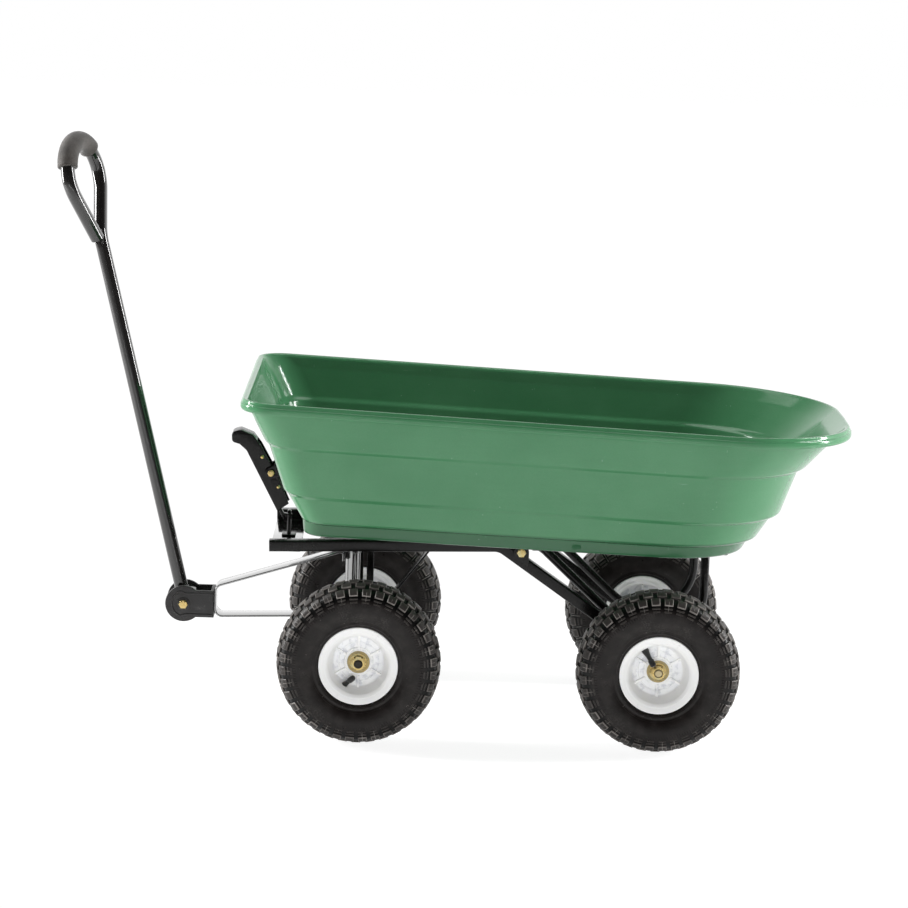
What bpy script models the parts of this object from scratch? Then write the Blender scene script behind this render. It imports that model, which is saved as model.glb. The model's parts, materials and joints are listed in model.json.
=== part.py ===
"""Four-wheeled hand cart with a tipping tray.

A steel frame carries two axles with air tyres. The front axle steers on a king bolt, pulled by a
strip loop, a clevis and a long handle with a closed grip. The moulded tray stands on two bent legs
that turn round the rear axle tube, so it tips backwards once the latch on its front wall lets go.

Sizes are metres, +Z up, +X to the rear. The ground is Z = 0 and Y = 0 is the middle of the cart.
Inside the script every place is measured from the front axle's ground point, and one empty moves
the whole cart so that the origin lies under the middle of its outer box.
"""
from math import atan, atan2, cos, degrees, hypot, pi, radians, sin, sqrt, tan

import bmesh
import bpy
from mathutils import Matrix, Vector

# Running gear
WHEELBASE = 0.465
TRACK = 0.420
AXLE_RADIUS = 0.008
TYRE_RADIUS = 0.128
TREAD_DEPTH = 0.006
TYRE_HALF_WIDTH = 0.043
TREAD_BLOCKS = 20
BLOCK_SHARE = 0.62
BEAD_RADIUS = 0.0508
FLANGE_RADIUS = 0.0615
RIM_HALF_WIDTH = 0.035
RIM_WALL = 0.004
HUB_OUTER_FACE = 0.006
HUB_INNER_LENGTH = 0.030
HUB_RADIUS = 0.022
HUB_WALL = 0.0108
WEB_THICKNESS = 0.004
WEB_RADIUS = 0.040
RIM_RIBS = 6
RIB_WIDTH = 0.004
NUT_RADIUS = 0.0138
NUT_HEIGHT = 0.012
WASHER_RADIUS = 0.0175
WASHER_THICKNESS = 0.0025
VALVE_LENGTH = 0.026
VALVE_RADIUS = 0.0034
VALVE_SEAT_RADIUS = 0.0395
VALVE_ANGLES = {
    "front_left": 232.0,
    "front_right": 232.0,
    "rear_left": 124.0,
    "rear_right": 124.0,
}

# Frame
RAIL_SPREAD = 0.120
RAIL_WIDTH = 0.020
RAIL_HEIGHT = 0.018
RAIL_WALL = 0.002
RAIL_FRONT_X = -0.147
RAIL_FRONT_TOP_Z = 0.297
RAIL_BEND_X = 0.216
RAIL_RISE = 1.75
RAIL_BEND_RADIUS = 0.030
TAB_X = 0.249
TAB_Z = 0.2915
TAB_RADIUS = 0.012
TAB_THICKNESS = 0.0035
CROSS_BAR_SIZE = 0.018
CROSS_PLATE_THICKNESS = 0.004
FRONT_BAR_LENGTH = 0.048
BOLSTER_LENGTH = 0.090
BOLSTER_HEIGHT = 0.018
BOLSTER_WALL = 0.003
AXLE_TUBE_RADIUS = 0.014
AXLE_TUBE_CLEARANCE = 0.0008

# Steering
KING_X = -0.015
KING_BOLT_RADIUS = 0.008
KING_POST_RADIUS = 0.0145
KING_COLLAR_RADIUS = 0.016
KING_COLLAR_HEIGHT = 0.022
KING_NUT_HEIGHT = 0.010
AXLE_BEAM_WIDTH = 0.030
AXLE_BEAM_BELOW = 0.013
AXLE_BEAM_ABOVE = 0.022
AXLE_BEAM_WALL = 0.0055
TURNTABLE_THICKNESS = 0.004
TURNTABLE_FRONT_X = -0.046
TURNTABLE_REAR_X = 0.112
TURNTABLE_WIDTH = 0.060
STAY_WIDTH = 0.011
STAY_X = 0.0105
STAY_DEPTH = 0.026
STAY_BOLT_RADIUS = 0.003
BRACE_WIDTH = 0.030
LOOP_STRIP_WIDTH = 0.038
LOOP_STRIP = 0.003
LOOP_FRONT_X = -0.2375
LOOP_TOP_Z = 0.194
LOOP_BOTTOM_Z = 0.1445
LOOP_UPPER_END_Z = 0.2585
LOOP_BEND = 0.012
TURN_LIMIT = 35.0

# Clevis and handle
PIVOT_X = -0.288
PIVOT_Z = 0.1656
CLEVIS_RADIUS = 0.0295
CLEVIS_NECK = 0.044
CLEVIS_INSIDE = 0.040
CLEVIS_CHEEK = 0.005
CLEVIS_RIB = 0.0016
PIVOT_BOLT_RADIUS = 0.004
PIVOT_HEAD_RADIUS = 0.0075
HANDLE_LEAN = 13.5
TUBE_RADIUS = 0.011
HANDLE_HUB_RADIUS = 0.022
GRIP_LOOP_START = 0.585
GRIP_LOOP_TOP = 0.757
GRIP_LOOP_HALF_WIDTH = 0.059
GRIP_LOOP_TWIST = -16.5
GRIP_LOOP_SET = 0.007
GRIP_RADIUS = 0.016
GRIP_NEAR_SPREAD = 66.0
GRIP_FAR_SPREAD = 47.0

# Tray
TRAY_WALL = 0.0035
TRAY_FRONT_STATION = -0.100
TRAY_REAR_STATION = 0.520
TRAY_CROWN = 0.015
TRAY_FLOOR_FILLET = 0.012
RIM_LIP = 0.017
RIM_ROUND = 0.005
TRAY_FIXED_X = 0.216

# Tray legs
LEG_RADIUS = 0.007
LEG_SPREAD = 0.098
LEG_BEND_RADIUS = 0.076
LEG_SLOPE = 43.0
LEG_FRONT_X = 0.278
LUG_WALL = 0.0032
LUG_WIDTH = 0.012
STRAP_THICKNESS = 0.003
STRAP_WIDTH = 0.036
STRAP_HALF_LENGTH = 0.118
TRAY_BOLT_RADIUS = 0.004
TRAY_BOLT_SPREAD = 0.072

# Latch
LATCH_X = -0.152
LATCH_Z = 0.3835
LATCH_TILT = 29.3
LEVER_HALF_WIDTH = 0.017
LEVER_WALL = 0.003
LEVER_DEPTH = 0.021
LEVER_TAPER = 0.003
LEVER_CHANNEL = (-0.095, 0.052)
BRACKET_HALF_WIDTH = 0.030
BRACKET_THICKNESS = 0.003
EAR_THICKNESS = 0.003
EAR_RADIUS = 0.010
PIN_RADIUS = 0.003
SPRING_WIRE = 0.0008
SPRING_RADIUS = 0.0062
SPRING_TURNS = 4
SPRING_ARM = 0.020
SPRING_PITCH = 0.0024
STRIKER_X = -0.122
STRIKER_TOP_Z = 0.318
STRIKER_ROD = 0.003
STRIKER_HALF_SPREAD = 0.009

# Clearances
GAP = 0.0003
RUNNING_GAP = 0.0005

# Heights and widths of the tray's outside, bottom to top: height at the front and rear station,
# foremost X, reach behind the rear axle, half width, front corner radius, rear corner radius
TRAY_LEVELS = {
    "bottom": (0.3173, 0.2986, -0.0930, 0.139, 0.184, 0.026, 0.125),
    "skirt_low": (0.3400, 0.3205, -0.0945, 0.149, 0.188, 0.028, 0.130),
    "skirt_high": (0.3440, 0.3245, -0.0970, 0.161, 0.198, 0.034, 0.136),
    "step_low": (0.3825, 0.3595, -0.1190, 0.183, 0.207, 0.040, 0.150),
    "step_high": (0.3880, 0.3650, -0.1250, 0.196, 0.213, 0.042, 0.154),
    "band_low": (0.4610, 0.4380, -0.1490, 0.221, 0.229, 0.044, 0.168),
    "band_high": (0.4665, 0.4435, -0.1550, 0.233, 0.234, 0.045, 0.172),
    "wall_top": (0.5130, 0.4895, -0.1775, 0.273, 0.2465, 0.042, 0.182),
    "rim": (0.5336, 0.5098, -0.1920, 0.300, 0.258, 0.038, 0.190),
}

FRONT_CORNER_STEPS = 4
REAR_CORNER_STEPS = 6
ROUND_STEPS = 24
SMALL_STEPS = 12
VALVE_STEPS = 8
SHAFT_STEPS = 16

HUB_BORE = HUB_RADIUS - HUB_WALL
AXLE_TUBE_BORE = AXLE_RADIUS + AXLE_TUBE_CLEARANCE
FRONT_AXLE_Z = TYRE_RADIUS
REAR_AXLE_X = WHEELBASE


def clear_scene():
    """Empties the file, so the cart is all that it holds."""
    for obj in list(bpy.data.objects):
        bpy.data.objects.remove(obj, do_unlink=True)


def make_collection(name):
    """Returns a new collection linked to the scene."""
    collection = bpy.data.collections.new(name)
    bpy.context.scene.collection.children.link(collection)
    return collection


def make_material(name, colour, roughness, metallic=0.0):
    """Returns a Principled material of one plain colour."""
    material = bpy.data.materials.new(name)
    material.use_nodes = True
    shader = material.node_tree.nodes["Principled BSDF"]
    shader.inputs["Base Color"].default_value = (*colour, 1.0)
    shader.inputs["Roughness"].default_value = roughness
    shader.inputs["Metallic"].default_value = metallic
    material.diffuse_color = (*colour, 1.0)
    return material


class Workshop:
    """Holds the two collections and the finishes that the pieces share."""

    def __init__(self):
        self.parts = make_collection("hand_cart")
        self.tools = make_collection("cutting_tools")
        self.finishes = {
            "tray": make_material("green_polyethylene", (0.085, 0.270, 0.130), 0.38),
            "frame": make_material("black_powder_coat", (0.012, 0.012, 0.013), 0.32, 0.3),
            "tube": make_material("gloss_black_tube", (0.010, 0.010, 0.011), 0.16, 0.2),
            "clevis": make_material("charcoal_casting", (0.035, 0.035, 0.038), 0.50),
            "grip": make_material("foam_rubber", (0.022, 0.021, 0.021), 0.80),
            "tyre": make_material("tyre_rubber", (0.016, 0.015, 0.015), 0.72),
            "rim": make_material("white_nylon", (0.80, 0.80, 0.79), 0.35),
            "bush": make_material("grey_nylon", (0.35, 0.35, 0.34), 0.45),
            "zinc": make_material("yellow_zinc", (0.62, 0.46, 0.18), 0.28, 0.9),
            "axle": make_material("plain_steel", (0.36, 0.35, 0.33), 0.35, 1.0),
            "spring": make_material("spring_steel", (0.55, 0.50, 0.38), 0.30, 1.0),
        }

    def piece(self, name, mesh, finish):
        """Adds one part of the cart."""
        obj = bpy.data.objects.new(name, mesh)
        self.parts.objects.link(obj)
        if not mesh.materials:
            mesh.materials.append(self.finishes[finish])
        return obj

    def tool(self, name, mesh):
        """Adds a shape that only cuts or joins."""
        obj = bpy.data.objects.new(name, mesh)
        self.tools.objects.link(obj)
        obj.hide_render = True
        obj.display_type = "WIRE"
        return obj


def pivot(shop, name, place, parent=None):
    """Adds an empty on a joint's axis. place is measured from the front axle's ground point."""
    empty = bpy.data.objects.new(name, None)
    empty.empty_display_size = 0.05
    shop.parts.objects.link(empty)
    empty["place"] = place
    if parent is None:
        empty.location = place
        return empty
    empty.parent = parent
    empty.location = Vector(place) - Vector(parent["place"])
    return empty


def attach(obj, parent, place=(0.0, 0.0, 0.0), turn=(0.0, 0.0, 0.0)):
    """Puts a piece at a place measured from the front axle's ground point, under its pivot."""
    obj.parent = parent
    obj.location = Vector(place) - Vector(parent["place"])
    obj.rotation_euler = turn
    return obj


STANDING = (radians(90.0), 0.0, 0.0)


def shade(mesh, angle=35.0):
    """Shades a round piece smooth, with its real edges kept sharp."""
    mesh.shade_smooth()
    mesh.set_sharp_from_angle(angle=radians(angle))
    return mesh


def finish_mesh(bm, name, tidy=True):
    """Turns a bmesh into a mesh with its faces pointing out."""
    if tidy:
        bmesh.ops.recalc_face_normals(bm, faces=bm.faces)
    mesh = bpy.data.meshes.new(name)
    bm.to_mesh(mesh)
    bm.free()
    return mesh


def box_mesh(name, low, high, bevel=0.0):
    """Returns a box between two corners, with its edges taken off."""
    bm = bmesh.new()
    bmesh.ops.create_cube(bm, size=1.0)
    size = Vector(high) - Vector(low)
    middle = (Vector(high) + Vector(low)) / 2
    bmesh.ops.scale(bm, vec=size, verts=bm.verts)
    bmesh.ops.translate(bm, vec=middle, verts=bm.verts)
    if bevel:
        bmesh.ops.bevel(bm, geom=bm.edges[:], offset=bevel, segments=1, affect="EDGES")
    return finish_mesh(bm, name)


def rod_mesh(name, radius, low, high, steps=SMALL_STEPS):
    """Returns a round rod along Z between two heights."""
    bm = bmesh.new()
    bmesh.ops.create_cone(
        bm, cap_ends=True, segments=steps, radius1=radius, radius2=radius, depth=high - low
    )
    bmesh.ops.translate(bm, vec=(0.0, 0.0, (low + high) / 2), verts=bm.verts)
    return shade(finish_mesh(bm, name))


def turned_mesh(name, profile, steps=ROUND_STEPS):
    """Returns a profile of (radius, height) points turned round Z with a Screw modifier.

    A profile that starts and ends on the axis is turned as it is, and any other one is closed.
    """
    doubled_area = 0.0
    for (r0, z0), (r1, z1) in zip(profile, profile[1:] + profile[:1]):
        doubled_area += r0 * z1 - r1 * z0
    points = list(profile) if doubled_area < 0 else list(reversed(profile))
    bm = bmesh.new()
    corners = [bm.verts.new((r, 0.0, z)) for r, z in points]
    on_axis = points[0][0] == 0.0 and points[-1][0] == 0.0
    following = corners[1:] if on_axis else corners[1:] + corners[:1]
    for first, second in zip(corners, following):
        bm.edges.new((first, second))
    source = finish_mesh(bm, name + "_profile", tidy=False)
    obj = bpy.data.objects.new(name + "_lathe", source)
    bpy.context.scene.collection.objects.link(obj)
    screw = obj.modifiers.new("turn", "SCREW")
    screw.axis = "Z"
    screw.angle = 2 * pi
    screw.steps = steps
    screw.render_steps = steps
    screw.use_merge_vertices = True
    screw.merge_threshold = 0.00001
    mesh = evaluated_mesh(obj, name)
    return shade(mesh)


def evaluated_mesh(obj, name, weld=0.0):
    """Returns the mesh that an object's modifiers or curve give, and removes the object."""
    bpy.context.view_layer.update()
    graph = bpy.context.evaluated_depsgraph_get()
    mesh = bpy.data.meshes.new_from_object(obj.evaluated_get(graph))
    mesh.name = name
    if weld:
        bm = bmesh.new()
        bm.from_mesh(mesh)
        bmesh.ops.remove_doubles(bm, verts=bm.verts, dist=weld)
        bmesh.ops.recalc_face_normals(bm, faces=bm.faces)
        bm.to_mesh(mesh)
        bm.free()
    bpy.data.objects.remove(obj, do_unlink=True)
    return mesh


def tube_mesh(name, points, radius, resolution=2):
    """Returns a rod swept along points, from a curve with filled ends."""
    curve = bpy.data.curves.new(name + "_path", "CURVE")
    curve.dimensions = "3D"
    curve.bevel_depth = radius
    curve.bevel_resolution = resolution
    curve.use_fill_caps = True
    spline = curve.splines.new("POLY")
    spline.points.add(len(points) - 1)
    for point, place in zip(spline.points, points):
        point.co = (*place, 1.0)
    obj = bpy.data.objects.new(name + "_curve", curve)
    bpy.context.scene.collection.objects.link(obj)
    return shade(evaluated_mesh(obj, name, weld=0.00001))


def plate_mesh(name, outline, thickness, holes=(), edge=0.0):
    """Returns a flat plate in XY, as thick as said about Z = 0, from a filled 2D curve."""
    curve = bpy.data.curves.new(name + "_outline", "CURVE")
    curve.dimensions = "2D"
    curve.fill_mode = "BOTH"
    curve.extrude = thickness / 2 - edge
    curve.bevel_depth = edge
    curve.bevel_resolution = 0
    curve.offset = -edge
    for loop in (outline, *holes):
        spline = curve.splines.new("POLY")
        spline.points.add(len(loop) - 1)
        spline.use_cyclic_u = True
        for point, (x, y) in zip(spline.points, loop):
            point.co = (x, y, 0.0, 1.0)
    obj = bpy.data.objects.new(name + "_plate", curve)
    bpy.context.scene.collection.objects.link(obj)
    return evaluated_mesh(obj, name, weld=0.00001)


def bore_for(radius, gap=GAP, steps=SMALL_STEPS):
    """Returns the corner radius of a bore whose flats clear a round shaft by the gap."""
    return (radius + gap) / cos(pi / steps)


def circle(x, y, radius, steps=SMALL_STEPS):
    """Returns the corners of a circle."""
    return [
        (x + radius * cos(2 * pi * i / steps), y + radius * sin(2 * pi * i / steps))
        for i in range(steps)
    ]


def arc(x, y, radius, start, end, steps):
    """Returns points along an arc between two angles in degrees, both ends included."""
    angles = [radians(start + (end - start) * i / steps) for i in range(steps + 1)]
    return [(x + radius * cos(a), y + radius * sin(a)) for a in angles]


def rounded_path(corners, step=22.5):
    """Returns a bent line: corners are (x, y, bend radius), the first and last stay sharp."""
    path = [Vector(corners[0][:2])]
    for before, corner, after in zip(corners, corners[1:], corners[2:]):
        place = Vector(corner[:2])
        back = (Vector(before[:2]) - place).normalized()
        ahead = (Vector(after[:2]) - place).normalized()
        half = back.angle(ahead) / 2
        radius = corner[2]
        if radius == 0.0:
            path.append(place)
            continue
        reach = radius / tan(half)
        centre = place + (back + ahead).normalized() * (radius / sin(half))
        first = place + back * reach - centre
        sweep = pi - 2 * half
        side = 1.0 if back.x * ahead.y - back.y * ahead.x < 0 else -1.0
        count = max(2, round(degrees(sweep) / step))
        for i in range(count + 1):
            turned = Matrix.Rotation(side * sweep * i / count, 2) @ first
            path.append(centre + turned)
    path.append(Vector(corners[-1][:2]))
    return path


def strip_outline(path, thickness):
    """Returns the outline of a strip of even thickness laid along a path."""
    left, right = [], []
    for i, place in enumerate(path):
        before = (place - path[i - 1]).normalized() if i else None
        after = (path[i + 1] - place).normalized() if i + 1 < len(path) else None
        along = (before or after) + (after or before)
        along.normalize()
        normal = Vector((-along.y, along.x))
        stretch = 1.0 if before is None or after is None else 1 / cos(before.angle(after) / 2)
        left.append(place + normal * stretch * thickness / 2)
        right.append(place - normal * stretch * thickness / 2)
    return [tuple(p) for p in left + right[::-1]]


def stacked_mesh(name, stations):
    """Returns a bolt or nut from rings along Z: (height, radius, is it a hexagon)."""
    bm = bmesh.new()
    rings = []
    for height, radius, hexagon in stations:
        ring = []
        for i in range(SMALL_STEPS):
            reach = radius * (cos(pi / 6) if hexagon and i % 2 else 1.0)
            angle = 2 * pi * i / SMALL_STEPS
            ring.append(bm.verts.new((reach * cos(angle), reach * sin(angle), height)))
        rings.append(ring)
    for lower, upper in zip(rings, rings[1:]):
        for i in range(SMALL_STEPS):
            j = (i + 1) % SMALL_STEPS
            bm.faces.new((lower[i], lower[j], upper[j], upper[i]))
    bm.faces.new(rings[0][::-1])
    bm.faces.new(rings[-1])
    return shade(finish_mesh(bm, name), 25.0)


def combine(obj, other, operation):
    """Cuts a shape out of a piece, or joins it on, with an exact Boolean."""
    modifier = obj.modifiers.new(operation.lower() + "_" + other.name, "BOOLEAN")
    modifier.operation = operation
    modifier.solver = "EXACT"
    modifier.object = other
    return obj


def bolt_stations(shank, head, under_head, length, nut=None):
    """Returns a hexagon bolt's rings, head at the top, with an optional nut at its far end."""
    head_height = shank * 1.3
    rings = [
        (under_head - length, shank * 0.8, False),
        (under_head - length + shank * 0.2, shank, False),
    ]
    if nut is not None:
        nut_top = under_head - nut
        nut_low = nut_top - shank * 1.6
        rings += [
            (nut_low, shank, False),
            (nut_low, head, True),
            (nut_top, head, True),
            (nut_top, shank, False),
        ]
    rings += [
        (under_head, shank, False),
        (under_head, head, True),
        (under_head + head_height, head, True),
    ]
    return rings


def tyre_mesh():
    """Returns a tyre: a hollow carcass with raised shoulder blocks, turned about Z."""
    pitch = 2 * pi / TREAD_BLOCKS
    crown = TYRE_RADIUS - TREAD_DEPTH
    shell = TREAD_DEPTH
    half = TYRE_HALF_WIDTH
    tread = [(crown, 0.0), (crown - 0.001, half * 0.22), (crown - 0.006, half * 0.78)]
    half_block = pitch * BLOCK_SHARE / 2
    top = TYRE_RADIUS / cos(half_block)
    block = [(top, half * 0.26), (top - 0.0040, half * 0.84)]
    shoulder = (TYRE_RADIUS - 0.024, half * 0.975)
    bore = BEAD_RADIUS + GAP
    bead_face = RIM_HALF_WIDTH - 0.0027 - GAP
    side = [
        (TYRE_RADIUS - 0.038, half),
        (FLANGE_RADIUS + 0.0065, half * 0.86),
        (FLANGE_RADIUS + RUNNING_GAP, bead_face),
        (bore, bead_face),
        (bore, bead_face - 0.009),
        (TYRE_RADIUS - 0.040, half - shell),
        (crown - shell, 0.0),
    ]

    def ring(bm, radius, height, angle):
        return bm.verts.new((radius * cos(angle), radius * sin(angle), height))

    bm = bmesh.new()
    starts, ends = [], []
    for i in range(TREAD_BLOCKS):
        for rows, angle in ((starts, pitch * i - half_block), (ends, pitch * i + half_block)):
            rows.append(
                {
                    "base": [ring(bm, r, z, angle) for r, z in tread],
                    "top": [ring(bm, r, z, angle) for r, z in block],
                    "foot": ring(bm, *shoulder, angle),
                }
            )
    walls = [[ring(bm, r, z, pitch * i) for r, z in side] for i in range(TREAD_BLOCKS)]
    for i in range(TREAD_BLOCKS):
        a, b, c = starts[i], ends[i], starts[(i + 1) % TREAD_BLOCKS]
        here, there = walls[i], walls[(i + 1) % TREAD_BLOCKS]
        bm.faces.new((a["base"][0], b["base"][0], b["base"][1], a["base"][1]))
        bm.faces.new((a["base"][1], b["base"][1], b["top"][0], a["top"][0]))
        bm.faces.new((a["top"][0], b["top"][0], b["top"][1], a["top"][1]))
        bm.faces.new((a["top"][1], b["top"][1], b["foot"], a["foot"]))
        for edge in (a, b):
            bm.faces.new((edge["base"][1], edge["top"][0], edge["top"][1], edge["base"][2]))
            bm.faces.new((edge["base"][2], edge["top"][1], edge["foot"]))
        for row in range(2):
            bm.faces.new(
                (b["base"][row], c["base"][row], c["base"][row + 1], b["base"][row + 1])
            )
        bm.faces.new((b["base"][2], c["base"][2], c["foot"], b["foot"]))
        bm.faces.new((a["foot"], b["foot"], here[0]))
        bm.faces.new((b["foot"], there[0], here[0]))
        bm.faces.new((b["foot"], c["foot"], there[0]))
        for row in range(len(side) - 1):
            bm.faces.new((here[row], there[row], there[row + 1], here[row + 1]))
    bmesh.ops.mirror(bm, geom=bm.verts[:] + bm.edges[:] + bm.faces[:], merge_dist=0.00001, axis="Z")
    return shade(finish_mesh(bm, "tyre"), 28.0)


def rim_mesh(shop):
    """Returns a dished rim with a hub and ribs, turned about Z with its outer side up."""
    seat = RIM_HALF_WIDTH - 0.0027
    inside = BEAD_RADIUS - RIM_WALL
    web = WEB_THICKNESS / 2
    profile = [
        (HUB_BORE, HUB_OUTER_FACE),
        (HUB_RADIUS, HUB_OUTER_FACE),
        (HUB_RADIUS, web),
        (WEB_RADIUS, web),
        (inside, RIM_HALF_WIDTH - 0.006),
        (FLANGE_RADIUS, RIM_HALF_WIDTH),
        (FLANGE_RADIUS, seat),
        (BEAD_RADIUS, seat),
        (BEAD_RADIUS, -seat),
        (FLANGE_RADIUS, -seat),
        (FLANGE_RADIUS, -RIM_HALF_WIDTH),
        (inside, 0.006 - RIM_HALF_WIDTH),
        (WEB_RADIUS, -web),
        (HUB_BORE + 0.005, -HUB_INNER_LENGTH),
        (HUB_BORE, -HUB_INNER_LENGTH),
    ]
    rim = shop.tool("rim_blank", turned_mesh("rim", profile, TREAD_BLOCKS))
    bm = bmesh.new()
    rib_top = web + 0.0035
    for i in range(RIM_RIBS):
        bmesh.ops.create_cube(bm, size=1.0)
        rib = bm.verts[-8:]
        length = WEB_RADIUS - HUB_RADIUS + 0.003
        bmesh.ops.scale(bm, vec=(length, RIB_WIDTH, rib_top), verts=rib)
        reach = (WEB_RADIUS + HUB_RADIUS) / 2
        bmesh.ops.translate(bm, vec=(reach, 0.0, rib_top / 2), verts=rib)
        turn = Matrix.Rotation(2 * pi * (i + 0.5) / RIM_RIBS, 3, "Z")
        bmesh.ops.rotate(bm, cent=(0.0, 0.0, 0.0), matrix=turn, verts=rib)
    ribs = shop.tool("rim_ribs", finish_mesh(bm, "rim_ribs"))
    combine(rim, ribs, "UNION")
    mesh = evaluated_mesh(rim, "rim")
    bpy.data.objects.remove(ribs, do_unlink=True)
    return shade(mesh)


def valve_mesh():
    """Returns a tyre valve: a flared foot, a stem and a cap along Z."""
    profile = [
        (0.0, 0.0),
        (VALVE_RADIUS * 1.5, 0.0),
        (VALVE_RADIUS, 0.004),
        (VALVE_RADIUS * 0.85, VALVE_LENGTH * 0.60),
        (VALVE_RADIUS * 1.1, VALVE_LENGTH * 0.64),
        (VALVE_RADIUS * 1.0, VALVE_LENGTH),
        (0.0, VALVE_LENGTH),
    ]
    return turned_mesh("valve", profile, VALVE_STEPS)


def build_wheels(shop, front, rear):
    """Makes the four wheels with their tyres, rims, bushes, valves and axle nuts."""
    tyre = tyre_mesh()
    rim = rim_mesh(shop)
    valve = valve_mesh()
    inner = bore_for(AXLE_RADIUS)
    outer = HUB_BORE * cos(pi / TREAD_BLOCKS) - GAP
    bush_profile = [
        (inner, HUB_OUTER_FACE),
        (outer, HUB_OUTER_FACE),
        (outer, -HUB_INNER_LENGTH),
        (inner, -HUB_INNER_LENGTH),
    ]
    bush = turned_mesh("hub_bush", bush_profile, SMALL_STEPS)
    washer_face = HUB_OUTER_FACE + RUNNING_GAP
    nut_face = washer_face + WASHER_THICKNESS
    nut = nut_mesh("axle_nut", inner, washer_face, nut_face, nut_face + NUT_HEIGHT)
    cone = atan2(RIM_HALF_WIDTH - 0.008 - WEB_THICKNESS / 2, BEAD_RADIUS - RIM_WALL - WEB_RADIUS)
    corners = (
        ("front_left", 0.0, -1.0, front),
        ("front_right", 0.0, 1.0, front),
        ("rear_left", WHEELBASE, -1.0, rear),
        ("rear_right", WHEELBASE, 1.0, rear),
    )
    for corner, x, side, carrier in corners:
        middle = (x, side * TRACK / 2, TYRE_RADIUS)
        turn = (radians(-90.0 * side), 0.0, 0.0)
        hub = pivot(shop, "axis_" + corner, middle, carrier)
        attach(shop.piece("tyre_" + corner, tyre, "tyre"), hub, middle, turn)
        attach(shop.piece("rim_" + corner, rim, "rim"), hub, middle, turn)
        attach(shop.piece("hub_bush_" + corner, bush, "bush"), hub, middle, turn)
        attach(shop.piece("axle_nut_" + corner, nut, "zinc"), carrier, middle, turn)
        angle = radians(VALVE_ANGLES[corner])
        stem = shop.piece("valve_" + corner, valve, "tyre")
        depth = WEB_THICKNESS / 2 + GAP
        lean = radians(48.0)
        outward = Vector((cos(angle), 0.0, sin(angle)))
        away = Vector((0.0, side, 0.0))
        foot = Vector(middle) + outward * (VALVE_SEAT_RADIUS - 0.0045) + away * (depth + 0.004)
        along = (away * cos(lean) - outward * sin(lean)).normalized()
        stem.parent = hub
        stem.location = foot - Vector(middle)
        stem.rotation_euler = along.to_track_quat("Z", "Y").to_euler()
    return cone


def nut_mesh(name, bore, washer_low, nut_low, nut_high):
    """Returns a washer and its nut as one bored piece along Z."""
    bm = bmesh.new()
    stations = [
        (washer_low, bore, False),
        (washer_low, WASHER_RADIUS, False),
        (nut_low, WASHER_RADIUS, False),
        (nut_low, NUT_RADIUS, True),
        (nut_high - 0.001, NUT_RADIUS, True),
        (nut_high, NUT_RADIUS * 0.88, False),
        (nut_high, bore, False),
    ]
    rings = []
    for height, radius, hexagon in stations:
        ring = []
        for i in range(SMALL_STEPS):
            angle = 2 * pi * i / SMALL_STEPS
            reach = radius
            if hexagon:
                away = (angle + pi / 6) % (pi / 3) - pi / 6
                reach = radius * cos(pi / 6) / cos(abs(away) - pi / 6)
            ring.append(bm.verts.new((reach * cos(angle), reach * sin(angle), height)))
        rings.append(ring)
    for lower, upper in zip(rings, rings[1:] + rings[:1]):
        for i in range(SMALL_STEPS):
            j = (i + 1) % SMALL_STEPS
            bm.faces.new((lower[i], lower[j], upper[j], upper[i]))
    return shade(finish_mesh(bm, name), 25.0)


def rail_bottom(x):
    """Returns the height of the rail's underside ahead of its bend."""
    return RAIL_FRONT_TOP_Z - RAIL_HEIGHT + tan(radians(RAIL_RISE)) * (x - RAIL_FRONT_X)


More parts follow.
